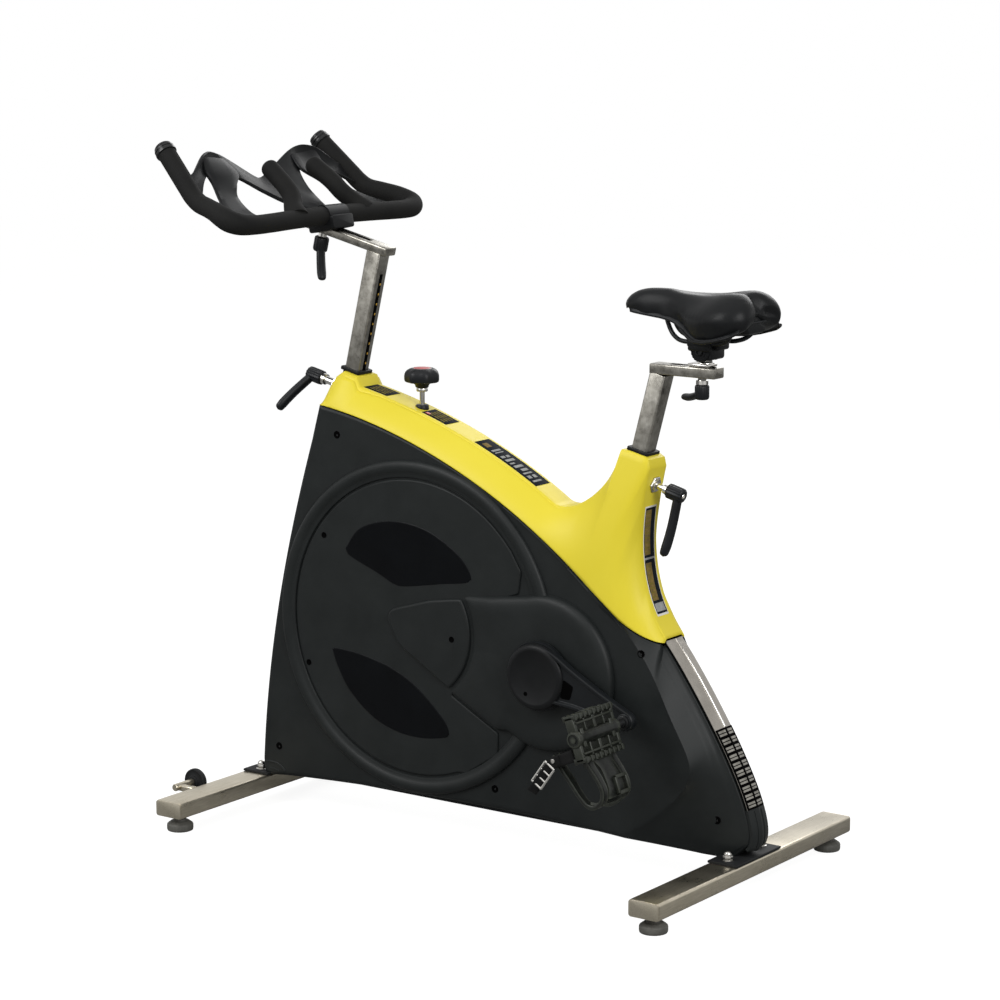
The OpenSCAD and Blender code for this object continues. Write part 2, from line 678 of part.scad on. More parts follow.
// Right half of the main tube, from the middle to the end of the outer grip
half_bar = concat([[-302, 0, 975], [-302, 60, 974]],
    curve([-301, 130, 972], [-298, 205, 970], [-316, 233, 978], [-350, 227, 991], 8),
    curve([-366, 222, 996], [-396, 212, 1002], [-408, 209, 1008], [-424, 206, 1024], 6),
    [[-452, 200, 1051], [-478, 194, 1076]]);
inner_horn = concat([[-306, 86, 976]], curve([-318, 76, 990], [-332, 62, 1006], [-348, 60, 1022], [-386, 54, 1050], 8));
module bar_tubes(grow = 0) {
    sweep(concat(backwards(mirrored(half_bar)), tail(half_bar)), grip_r + grow, 14);
    for (side = [-1, 1]) on_side(side) sweep(inner_horn, grip_r - 0.5 + grow, 14, grip_r - 2);
}
module handlebar() {
    color("#1b1c1d") union() bar_tubes();
}
module handlebar_end_caps() {
    color("#0f1011") for (side = [-1, 1]) on_side(side) {
        tip = [-478, 194, 1076];
        dir = unit(tip - [-452, 200, 1051]);
        translate(tip) rotate([0, acos(dir.z), atan2(dir.y, dir.x)]) {
            cylinder(r = grip_r + 1, h = 5);
            translate([0, 0, 5]) cylinder(r1 = grip_r - 1.5, r2 = grip_r - 3, h = 9);
        }
    }
}
// Moulded straps that hold a bottle between the inner and outer grips
module bottle_cradles() {
    color("#1d1e1f") difference() {
        for (side = [-1, 1]) on_side(side) {
            hoop = concat(
                curve([-318, 30, 980], [-380, 40, 1010], [-432, 72, 1058], [-440, 116, 1068], 8),
                tail(curve([-440, 116, 1068], [-446, 150, 1074], [-436, 180, 1058], [-420, 192, 1034], 6)));
            strap(hoop, [-0.6, 0, -0.8], 34, 4);
            strap(curve([-420, 120, 1046], [-400, 140, 1010], [-370, 150, 985], [-316, 152, 972], 6),
                  [0.3, 1, 0], 30, 4);
        }
        bar_tubes(0.4);
    }
}
module handlebar_clamp() {
    color("#151617") difference() {
        union() {
            on_front_rail() translate([-30, -24, 0.3]) cube([60, 48, 12]);
            translate([-334, -25, 962]) cube([62, 50, 16]);
        }
        on_front_rail() translate([-100, -40, -20]) cube([200, 80, 20.3]);
        on_front_rail() translate([0, 0, -10]) cylinder(r = 4.05, h = 14);
        translate([bar_centre.x, 40, bar_centre.z]) rotate([90, 0, 0]) cylinder(r = grip_r + 0.5, h = 80);
    }
}

/* --------------------------------- saddle -------------------------------- */
seat_slide_x = 392;
tilt = [400, 0, 809];
module seat_post() {
    color("#b3ab9f") difference() {
        union() {
            leaned(seat_collar, seat_lean) difference() {
                square_bar(post_w, -190, seat_post_up + 8);
                square_bar(post_w - 2 * frame_t, -191, seat_post_up - 8);
            }
            translate([308, -post_w / 2 - 0.2, seat_top.z]) cube([113, post_w + 0.4, seat_rail_h]);
        }
        translate([342, -slot_w / 2, seat_top.z - 1]) cube([70, slot_w, seat_rail_h + 2]);
    }
}
module seat_slider() {
    color("#d5d3ce") difference() {
        union() {
            translate([seat_slide_x - 18, -14, seat_top.z + seat_rail_h + 0.3]) cube([36, 28, 5]);
            translate([tilt.x - 3, 0, seat_top.z + seat_rail_h + 5]) cylinder(r = 10.5, h = 16);
            disc_y(tilt, 8, -12, 12);
        }
        translate([seat_slide_x, 0, seat_top.z]) cylinder(r = 4.05, h = 22);
    }
}
saddle_rail_y = 21;
saddle_rail_z = 822;
module saddle_clamp() {
    color("#161718") difference() {
        union() {
            disc_y(tilt, 16, -20, 20);
            translate([tilt.x - 18, -28, saddle_rail_z - 6]) cube([36, 56, 12]);
        }
        disc_y(tilt, 8.05, -12.4, 12.4);
        translate([tilt.x - 18, -12.4, tilt.z - 30]) cube([36, 24.8, 30]);
        for (s = [-1, 1]) translate([tilt.x - 40, s * saddle_rail_y, saddle_rail_z])
            rotate([0, 90, 0]) cylinder(r = 3.5, h = 80);
    }
}
module saddle_rails() {
    route = concat([[309.5, 8, 857]], curve([322, 9, 852], [344, 14, 828], [352, 20, 822], [378, saddle_rail_y, 822], 8),
        [[400, saddle_rail_y, 822], [424, saddle_rail_y, 822]],
        curve([440, 24, 824], [456, 30, 830], [462, 34, 842], [470, 36, 852], 5));
    color("#0f1010") for (side = [-1, 1]) on_side(side) sweep(route, 3.45, 12);
}

// Saddle: half width, top and underside along its length, 0 at the nose and 1 at the tail
saddle_x0 = 253;
saddle_len = 250;
function ease(t) = let (c = min(max(t, 0), 1)) c * c * (3 - 2 * c);
function saddle_half(u) = (21 + 56 * ease((u - 0.36) / 0.42)) * pow(1 - pow(1 - min(u / 0.16, 1), 2.4), 0.5)
    * sqrt(max(1 - pow(max(u - 0.82, 0) / 0.185, 2), 0.02));
function saddle_top(u) = 888 + 8 * cos(180 * min(u / 0.55, 1)) * (u < 0.55 ? 1 : -1) * 0.5
    + (u > 0.55 ? 3 + 3 * sin(180 * (u - 0.55)) - 4 : 0) - 14 * pow(1 - min(u / 0.12, 1), 2) - 10 * pow(max(u - 0.9, 0) / 0.1, 2);
function saddle_low(u) = 866 - 18 * ease(u / 0.35) - 12 * ease((u - 0.35) / 0.3) + 8 * ease((u - 0.7) / 0.3);
module saddle() {
    stations = [for (i = [0:20]) 0.004 + 0.992 * i / 20];
    color("#191a1c") difference() {
        polyhedron([for (u = stations) let (w = saddle_half(u), t = saddle_top(u), b = saddle_low(u))
            for (k = [0:15]) let (a = -360 * k / 16, c = cos(a), s = sin(a))
                [saddle_x0 + u * saddle_len, w * sign(c) * pow(abs(c), 0.75),
                 s > 0 ? b + 8 + (t - b - 8) * pow(s, 0.7) : b + 8 + 8 * s]],
            ring_faces(len(stations), 16), convexity = 6);
        // hollow underside that clears the rails and the clamp
        translate([306, -14, 800]) cube([60, 28, 66]);
        translate([350, -33, 800]) cube([100, 66, 64]);
        translate([445, -44, 800]) cube([34, 88, 64]);
    }
}

/* ------------------------------- clamp levers ---------------------------- */
// Screw from "tip" out to the hub, then a handle that runs "reach" away from the hub
module lever(origin, lean, screw_r, tip, hub0, hub1, hub_r, reach) {
    neck = origin + (hub1 - 8) * [sin(lean), 0, cos(lean)];
    color("#191a1c") union() {
        leaned(origin, lean) {
            translate([0, 0, tip]) cylinder(r = screw_r, h = hub0 + 1 - tip);
            translate([0, 0, hub0 - 6]) cylinder(r = screw_r + 2.5, h = 6 + eps);
            translate([0, 0, hub0]) cylinder(r = hub_r, h = hub1 - hub0);
        }
        translate(neck) rotate([0, acos(unit(reach).z), atan2(reach.y, reach.x)])
            cylinder(r1 = 5.5, r2 = 6.8, h = norm(reach));
        translate(neck + reach) sphere(r = 7.6, $fn = 32);
    }
}
module handlebar_slide_lever() {
    lever(rail_seat, 180 + front_lean, 4, -3.2, front_rail_h + 8.5, front_rail_h + 28, 10.5, [31, -33, -36]);
}
module seat_slide_lever() {
    lever([seat_slide_x, 0, seat_top.z + seat_rail_h], 180, 4, -5, 27, 49, 10.5, [-48, 26, -11]);
}
module handlebar_post_lever() {
    lever(on_front(front_screw), front_lean - 90, 5, post_w / 2 + 0.3, 63, 91, 10, [-27, -38, -46]);
}
module seat_post_lever() {
    lever(on_seat(seat_screw), seat_lean + 90, 5, post_w / 2 + 0.3, 60, 85, 9.5, [-14, -12, -80]);
}

/* ------------------------------ wheels and feet -------------------------- */
wheel_radius = 21;
module transport_wheel(side) {
    color("#1a1b1c") on_side(side) difference() {
        union() {
            disc_y([wheel_x, 0, wheel_z], wheel_radius, wheel_y - 5, wheel_y + 5);
            disc_y([wheel_x, 0, wheel_z], 10, wheel_y - 8, wheel_y + 8);
        }
        disc_y([wheel_x, 0, wheel_z], 4.05, wheel_y - 20, wheel_y + 20);
    }
}
module left_transport_wheel() { transport_wheel(-1); }
module right_transport_wheel() { transport_wheel(1); }

module foot(x, y) {
    color("#1a1b1c") translate([x, y, 0]) {
        cylinder(r1 = 20, r2 = 21, h = 3);
        translate([0, 0, 3]) cylinder(r = 21, h = 8);
        translate([0, 0, 11]) cylinder(r1 = 21, r2 = 16, h = 4);
        translate([0, 0, 15]) cylinder(r = 10, h = bar_z - 15.3);
        cylinder(r = stud_r, h = bar_z + bar_h - 8);
    }
}
module foot_front_left() { foot(front_x, foot_ys[0]); }
module foot_front_right() { foot(front_x, foot_ys[1]); }
module foot_rear_left() { foot(rear_x, foot_ys[0]); }
module foot_rear_right() { foot(rear_x, foot_ys[1]); }

front_foot_bar();
rear_foot_bar();
foot_bar_end_caps();
main_frame();
post_bushings();
left_side_shell();
right_side_shell();
top_cover();
left_flywheel_cover();
right_flywheel_cover();
flywheel_windows();
access_cover();
belt_cover();
right_crank_cover();
shell_screws();
rear_strip();
rear_guard();
mount_plates();
mount_bolts();
flywheel_axle();
bearings();
drive_belt();
brake_guide();
flywheel();
flywheel_pulley();
crank_axle();
drive_pulley();
left_crank_arm();
right_crank_arm();
crank_caps();
pedal_spindles();
left_pedal();
left_toe_cage();
left_pedal_strap();
right_pedal();
right_toe_cage();
right_pedal_strap();
handlebar_post();
handlebar();
bottle_cradles();
handlebar_clamp();
handlebar_end_caps();
seat_post();
seat_slider();
saddle_clamp();
saddle_rails();
saddle();
handlebar_slide_lever();
seat_slide_lever();
handlebar_post_lever();
seat_post_lever();
brake_rod();
brake_pad();
resistance_knob();
left_transport_wheel();
right_transport_wheel();
foot_front_left();
foot_front_right();
foot_rear_left();
foot_rear_right();
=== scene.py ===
import json
import math
import bmesh
import bpy
import numpy as np
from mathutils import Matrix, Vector


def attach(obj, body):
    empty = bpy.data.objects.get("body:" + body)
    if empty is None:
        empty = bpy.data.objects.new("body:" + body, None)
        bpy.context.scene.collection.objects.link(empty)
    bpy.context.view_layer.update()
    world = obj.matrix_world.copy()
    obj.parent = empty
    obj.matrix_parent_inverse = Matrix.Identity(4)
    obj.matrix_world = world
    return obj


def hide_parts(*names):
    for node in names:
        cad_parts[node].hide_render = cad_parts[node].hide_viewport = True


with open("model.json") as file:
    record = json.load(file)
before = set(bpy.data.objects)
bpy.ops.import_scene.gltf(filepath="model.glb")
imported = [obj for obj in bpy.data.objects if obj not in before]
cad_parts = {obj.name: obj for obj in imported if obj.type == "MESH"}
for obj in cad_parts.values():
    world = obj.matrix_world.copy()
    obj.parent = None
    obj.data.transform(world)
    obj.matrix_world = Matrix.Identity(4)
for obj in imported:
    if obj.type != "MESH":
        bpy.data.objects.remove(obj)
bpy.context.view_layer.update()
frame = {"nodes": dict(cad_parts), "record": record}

mm = 0.001
print("frame loaded")


# making meshes
def unit(v):
    v = np.asarray(v, float)
    return v / np.maximum(np.linalg.norm(v, axis=-1, keepdims=True), 1e-12)


def gridFaces(rows, columns, closeRows=False, closeColumns=False):
    # quads between neighbouring rows and columns, wrapping round where the sheet closes
    i, j = np.meshgrid(np.arange(rows if closeRows else rows - 1),
                       np.arange(columns if closeColumns else columns - 1), indexing="ij")
    k, m = (i + 1) % rows, (j + 1) % columns
    return np.stack([i * columns + j, i * columns + m, k * columns + m, k * columns + j], -1).reshape(-1, 4)


def makeObject(name, points, faces, smooth=True, weld=1e-6):
    # one closed mesh from points in millimetres; doubled points are merged and faces turned outwards
    mesh = bpy.data.meshes.new(name)
    mesh.from_pydata((np.asarray(points, float).reshape(-1, 3) * mm).tolist(), [],
                     [list(map(int, f)) for f in faces])
    b = bmesh.new()
    b.from_mesh(mesh)
    bmesh.ops.remove_doubles(b, verts=b.verts, dist=weld)
    bmesh.ops.dissolve_degenerate(b, edges=b.edges, dist=weld)
    bmesh.ops.recalc_face_normals(b, faces=b.faces)
    b.to_mesh(mesh)
    b.free()
    mesh.polygons.foreach_set("use_smooth", [smooth] * len(mesh.polygons))
    mesh.set_sharp_from_angle(angle=math.radians(38))
    made = bpy.data.objects.new(name, mesh)
    bpy.context.scene.collection.objects.link(made)
    return made


def joined(parts):
    # several (points, faces) blocks as one
    points, faces, base = [], [], 0
    for p, f in parts:
        p = np.asarray(p, float).reshape(-1, 3)
        points.append(p)
        faces += [[int(i) + base for i in face] for face in f]
        base += len(p)
    return np.vstack(points), faces


def frameFor(axis):
    # two directions square to the axis
    axis = unit(axis)
    side = unit(np.cross([0, 0, 1] if abs(axis[2]) < 0.9 else [1, 0, 0], axis))
    return side, np.cross(axis, side), axis


def turned(profile, origin, axis, sides=64, lobes=0, lobeDepth=0.0):
    # surface of revolution: each (radius, height) of the profile swept once round the axis;
    # with lobes, the radius also swells and shrinks as a cosine of the angle
    u, v, w = frameFor(axis)
    profile = np.asarray(profile, float)
    a = np.linspace(0, 2 * math.pi, sides, endpoint=False)
    swell = 1 + lobeDepth * np.cos(lobes * a)
    r = profile[:, 0][:, None] * swell[None, :]
    points = (np.asarray(origin, float) + r[..., None] * (np.cos(a)[None, :, None] * u + np.sin(a)[None, :,
            None] * v)
              + profile[:, 1][:, None, None] * w)
    faces = gridFaces(len(profile), sides, False, True).tolist()
    if profile[0, 0] > 1e-4:
        faces.append(list(range(sides))[::-1])
    if profile[-1, 0] > 1e-4:
        faces.append([(len(profile) - 1) * sides + i for i in range(sides)])
    return points, faces


def bezier(p0, p1, p2, p3, n=16):
    t = np.linspace(0, 1, n)[:, None]
    s = 1 - t
    p0, p1, p2, p3 = (np.asarray(p, float) for p in (p0, p1, p2, p3))
    return s ** 3 * p0 + 3 * s * s * t * p1 + 3 * s * t * t * p2 + t ** 3 * p3


def through(points, n=48):
    # smooth line through the given points, evenly spaced: Catmull-Rom, then resampled by length
    p = np.asarray(points, float)
    p = np.vstack([2 * p[0] - p[1], p, 2 * p[-1] - p[-2]])
    t = np.linspace(0, 1, 24, endpoint=False)[:, None]
    spans = [0.5 * (2 * p[i] + (p[i + 1] - p[i - 1]) * t + (2 * p[i - 1] - 5 * p[i] + 4 * p[i + 1] - p[i + 2]) * t * t
                    + (3 * p[i] - 3 * p[i + 1] + p[i + 2] - p[i - 1]) * t ** 3) for i in range(1, len(p) - 2)]
    line = np.vstack(spans + [p[-2][None, :]])
    return resampled(line, n)


def resampled(line, n):
    line = np.asarray(line, float)
    run = np.concatenate([[0], np.cumsum(np.linalg.norm(np.diff(line, axis=0), axis=1))])
    at = np.linspace(0, run[-1], n)
    return np.stack([np.interp(at, run, line[:, k]) for k in range(line.shape[1])], -1)


def tube(path, radius, sides=24, up=(0, 0, 1), squash=1.0, closed=True):
    # circle of the given radius, constant or one for each station, carried along the path
    path = np.asarray(path, float)
    t = unit(np.gradient(path, axis=0))
    n = unit(np.cross(np.asarray(up, float), t))
    m = np.cross(t, n)
    r = np.broadcast_to(np.asarray(radius, float), (len(path),))
    a = np.linspace(0, 2 * math.pi, sides, endpoint=False)
    points = path[:, None, :] + r[:, None, None] * (np.cos(a)[None, :, None] * n[:, None, :]
                                                    + squash * np.sin(a)[None, :, None] * m[:, None, :])
    faces = gridFaces(len(path), sides, False, True).tolist()
    if closed:
        faces += [list(range(sides))[::-1], [(len(path) - 1) * sides + i for i in range(sides)]]
    return points, faces


def stripProfile(thick, lip, crown):
    # section of a flat strip: s runs across and back, h is the half thickness, rounded off at both edges
    s = np.array([-1, -0.97, -0.9, -0.5, 0, 0.5, 0.9, 0.97, 1, 0.97, 0.9, 0.5, 0, -0.5, -0.9, -0.97])
    h = np.array([0, 0.6, 1, 1, 1, 1, 1, 0.6, 0, -0.6, -1, -1, -1, -1, -1, -0.6])
    h = h + lip * np.clip((np.abs(s) - 0.5) / 0.4, 0, 1) * np.sign(h)
    return s, 0.5 * thick * h + crown * (1 - s * s)


def band(path, across, width, thick, lip=0.0, crown=0.0):
    # flat strip with rounded long edges, carried along the path; "across" is the direction of its width,
    # "lip" thickens the edges and "crown" bows the middle out by 1 - s squared
    path = np.asarray(path, float)
    t = unit(np.gradient(path, axis=0))
    a = unit(np.broadcast_to(np.asarray(across, float), path.shape))
    a = unit(a - (a * t).sum(1, keepdims=True) * t)
    n = np.cross(a, t)
    w = np.broadcast_to(np.asarray(width, float), (len(path),))[:, None, None]
    s, h = stripProfile(thick, lip, crown)
    points = path[:, None, :] + 0.5 * w * s[None, :, None] * a[:, None, :] + h[None, :, None] * n[:, None, :]
    faces = gridFaces(len(path), len(s), False, True).tolist()
    faces += [list(range(len(s)))[::-1], [(len(path) - 1) * len(s) + i for i in range(len(s))]]
    return points, faces


def roundRect(wide, deep, corner, n=5):
    # rectangle about the origin with quarter-round corners
    corner = min(corner, 0.49 * wide, 0.49 * deep)
    a = np.radians(np.linspace(0, 90, n))
    quarter = np.c_[np.cos(a), np.sin(a)] * corner
    cx, cy = wide / 2 - corner, deep / 2 - corner
    spin = lambda q, k: q @ np.array([[math.cos(k), math.sin(k)], [-math.sin(k), math.cos(k)]])
    middles = [(cx, cy), (-cx, cy), (-cx, -cy), (cx, -cy)]
    return np.vstack([np.array(m) + spin(quarter, k * math.pi / 2) for k, m in enumerate(middles)])


def bar(a, b, wide, deep, side, corner=3.0, ends=1.0):
    # rounded rectangle carried straight from a to b, its width along "side"; each end is drawn in over the last "ends"
    a, b = np.asarray(a, float), np.asarray(b, float)
    along = unit(b - a)
    u = unit(np.asarray(side, float) - np.dot(side, along) * along)
    v = np.cross(along, u)
    length = np.linalg.norm(b - a)
    steps = [(0, ends), (0.3 * ends, 0.3 * ends), (ends, 0), (length - ends, 0),
             (length - 0.3 * ends, 0.3 * ends), (length, ends)]
    rings = []
    for at, shrink in steps:
        r = roundRect(max(wide - 2 * shrink, 0.2), max(deep - 2 * shrink, 0.2), max(corner - shrink, 0.05))
        rings.append(a + at * along + r[:, :1] * u + r[:, 1:] * v)
    n = len(rings[0])
    return np.concatenate(rings), gridFaces(len(rings), n, False, True).tolist() + [list(range(n))[::-1],
            [(len(rings) - 1) * n + i for i in range(n)]]


def insetOutline(outline, d):
    # closed outline in X and Z moved inwards by d, square to its own direction
    p = np.asarray(outline, float)
    q, o = np.roll(p, -1, 0), np.roll(p, 1, 0)
    turn = np.sign(np.sum(p[:, 0] * q[:, 1] - q[:, 0] * p[:, 1]))
    n0, n1 = (turn * np.c_[-t[:, 1], t[:, 0]] for t in (unit(p - o), unit(q - p)))
    n = unit(n0 + n1)
    return p + n * (d / np.clip((n * n0).sum(1), 0.5, 1))[:, None]


def softCorners(points, radius, n=6):
    # polygon with each corner swapped for a quadratic curve that starts and ends "radius" before it
    p = np.asarray(points, float)
    r = np.broadcast_to(np.asarray(radius, float), (len(p),))
    before, after = np.roll(p, 1, 0) - p, np.roll(p, -1, 0) - p
    a = p + unit(before) * np.minimum(r, 0.45 * np.linalg.norm(before, axis=1))[:, None]
    b = p + unit(after) * np.minimum(r, 0.45 * np.linalg.norm(after, axis=1))[:, None]
    t = np.linspace(0, 1, n)[None, :, None]
    return ((1 - t) ** 2 * a[:, None] + 2 * t * (1 - t) * p[:, None] + t * t * b[:, None]).reshape(-1, 2)


def arc(centre, radius, a0, a1, n):
    # circle arc in X and Z, angles in degrees from +X towards +Z
    a = np.radians(np.linspace(a0, a1, n))
    return np.c_[centre[0] + radius * np.cos(a), centre[1] + radius * np.sin(a)]


def plaque(outline, profile, side=-1):
    # flat-topped plate: the outline is drawn once for each (inset, height) of the profile, and both ends are capped
    profile = list(profile) + [(profile[-1][0] + 0.4, profile[-1][1])]
    rings = [insetOutline(outline, d) for d, h in profile]
    n = len(outline)
    points = np.concatenate([np.c_[r[:, 0], np.full(n, side * h), r[:, 1]] for r,
                             (d, h) in zip(rings, profile)])
    faces = gridFaces(len(rings), n, False, True).tolist()
    return points, faces + [list(range(n))[::-1], [(len(rings) - 1) * n + i for i in range(n)]]


def nearest(points, outline):
    # distance from each point to the closed outline, taken over all its straight parts at once
    a, b = np.asarray(outline, float), np.roll(outline, -1, 0)
    run = b - a
    t = np.clip(((points[:, None] - a) * run).sum(-1) / np.maximum((run * run).sum(-1), 1e-9), 0, 1)
    return np.linalg.norm(points[:, None] - a - t[..., None] * run, axis=-1).min(1)


def dished(outline, centre, profile, height, steps=26, side=-1):
    # plate drawn in to a centre point in rings; its height follows the profile by distance from the outline,
    # then height(x, z, h) shapes the whole face
    outline = np.asarray(outline, float)
    s = np.r_[1, 1 - np.linspace(0.03, 1, steps) ** 1.7]
    rings = centre + (outline - centre) * s[:, None, None]
    flat = rings.reshape(-1, 2)
    h = np.interp(nearest(flat, outline), *np.asarray(profile, float).T)
    face = np.c_[flat[:, 0], side * height(flat[:, 0], flat[:, 1], h), flat[:, 1]].reshape(*rings.shape[:2],
            3)
    back = np.stack([np.broadcast_to([centre[0], 0, centre[1]], face[0].shape), face[0] * (1, 0, 1)]) + (0,
            side * height(0, 0, 0) * 0.97, 0)
    return np.concatenate([back, face]).reshape(-1, 3), gridFaces(steps + 3, len(outline), False,
            True).tolist()


def coons(left, right, bottom, top):
    # sheet between four edge lines: the blend across plus the blend up, less the blend of the four corners
    u = np.linspace(0, 1, len(bottom))[None, :, None]
    v = np.linspace(0, 1, len(left))[:, None, None]
    return ((1 - u) * left[:, None] + u * right[:, None] + (1 - v) * bottom[None] + v * top[None]
            - (1 - u) * (1 - v) * bottom[0] - u * (1 - v) * bottom[-1] - (1 - u) * v * top[0] - u * v * top[-1])


def ease(t):
    t = np.clip(t, 0, 1)
    return t * t * (3 - 2 * t)


def thickened(obj, t):
    # closes an open sheet with a wall on its inner side
    m = obj.modifiers.new("wall", "SOLIDIFY")
    m.thickness, m.offset = t * mm, -1
    return obj


def rounded(obj, width, segments=3, angle=30):
    # eased edges, in millimetres
    m = obj.modifiers.new("eased edges", "BEVEL")
    m.width, m.segments, m.limit_method, m.angle_limit = width * mm, segments, "ANGLE", math.radians(angle)
    m.harden_normals = True
    return obj


def smoothed(obj, levels=1):
    m = obj.modifiers.new("smoothed", "SUBSURF")
    m.levels = m.render_levels = levels
    return obj


def copyOf(node, name=None, weld=0.02):
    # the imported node's own mesh, merged, as a new piece
    mesh = frame["nodes"][node].data.copy()
    b = bmesh.new()
    b.from_mesh(mesh)
    bmesh.ops.remove_doubles(b, verts=b.verts, dist=weld * mm)
    bmesh.ops.dissolve_limit(b, angle_limit=math.radians(0.6), verts=b.verts, edges=b.edges)
    bmesh.ops.recalc_face_normals(b, faces=b.faces)
    for f in b.faces:
        f.smooth = True
    b.to_mesh(mesh)
    b.free()
    mesh.materials.clear()
    made = bpy.data.objects.new(name or node + "_piece", mesh)
    bpy.context.scene.collection.objects.link(made)
    return made


# making materials
def rgb(code):
    # sRGB hex to linear
    c = [int(code[i:i + 2], 16) / 255 for i in (0, 2, 4)]
    return tuple(x / 12.92 if x <= 0.04045 else ((x + 0.055) / 1.055) ** 2.4 for x in c) + (1,)


def add(tree, kind, values):
    # one node with its settings; a value that is another node's socket is linked
    made = tree.nodes.new("ShaderNode" + kind)
    for key, value in values.items():
        if isinstance(key, str) and key not in made.inputs:
            setattr(made, key, value)
        elif isinstance(value, bpy.types.NodeSocket):
            tree.links.new(value, made.inputs[key])
        else:
            made.inputs[key].default_value = value
    return made


def finishOf(name, spec):
    # a procedural finish: two close colours in soft blotches, fine grain in bump and roughness, paler sharp edges
    # painted as scuffs together with edge highlights.
    # spec sizes are millimetres on the object
    made = bpy.data.materials.new(name)
    made.use_nodes = True
    tree = made.node_tree
    tree.nodes.clear()
    place = add(tree, "TexCoord", {}).outputs["Object"]
    stretch = spec.get("stretch", (1, 1, 1))
    grainPlace = add(tree, "Mapping", {"Vector": place, "Scale": stretch}).outputs[0]
    blotch = add(tree, "TexNoise", {"Vector": place, "Scale": 1000 / spec.get("blotch", 60), "Detail": 4.0,
                                    "Roughness": 0.6})
    grain = add(tree, "TexNoise", {"Vector": grainPlace, "Scale": 1000 / spec.get("grain", 1.2),
                                   "Detail": 3.0, "Roughness": 0.65})
    soft = add(tree, "MapRange", {"Value": blotch.outputs["Fac"], "From Min": 0.3, "From Max": 0.7})
    colour = add(tree, "Mix", {"data_type": "RGBA", 0: soft.outputs[0], 6: rgb(spec["colour"]),
                               7: rgb(spec.get("colour2", spec["colour"]))}).outputs[2]
    if spec.get("streak"):
        streak = add(tree, "MapRange", {"Value": grain.outputs["Fac"], "From Min": 0.35, "From Max": 0.65,
                                        "To Min": 0.0, "To Max": spec["streak"]})
        colour = add(tree, "Mix", {"data_type": "RGBA", 0: streak.outputs[0], 6: colour,
                                   7: rgb(spec["streakColour"])}).outputs[2]
    # paler sharp edges found by pointiness: part scuffs, part painted edge highlight
    if spec.get("edgeScuffAndHighlight"):
        edge = add(tree, "NewGeometry", {}).outputs["Pointiness"]
        edgeScuffAndHighlightMask = add(tree, "MapRange", {"Value": edge, "From Min": 0.52, "From Max": 0.62,
                                      "To Max": spec["edgeScuffAndHighlight"]})
        colour = add(tree, "Mix", {"data_type": "RGBA", 0: edgeScuffAndHighlightMask.outputs[0], 6: colour,
                                   7: rgb(spec["edgeScuffAndHighlightColour"])}).outputs[2]
    shine = spec["rough"]
    varied = add(tree, "Mix", {"data_type": "FLOAT", 0: 0.5, 2: blotch.outputs["Fac"],
                               3: grain.outputs["Fac"]}).outputs[0]
    rough = add(tree, "MapRange", {"Value": varied, "From Min": 0.3, "From Max": 0.7,
                                   "To Min": shine - spec.get("roughSpread", 0.05),
                                   "To Max": shine + spec.get("roughSpread", 0.05)})
    bump = add(tree, "Bump", {"Height": grain.outputs["Fac"], "Strength": spec.get("bump", 0.15),
                              "Distance": spec.get("depth", 0.1) * mm})
    shader = add(tree, "BsdfPrincipled", {"Base Color": colour, "Roughness": rough.outputs[0],
                                          "Normal": bump.outputs[0],
                                          "Metallic": spec.get("metallic", 0.0)})
    shader.inputs["Specular IOR Level"].default_value = spec.get("specular", 0.5)
    add(tree, "OutputMaterial", {"Surface": shader.outputs[0]})
    return made


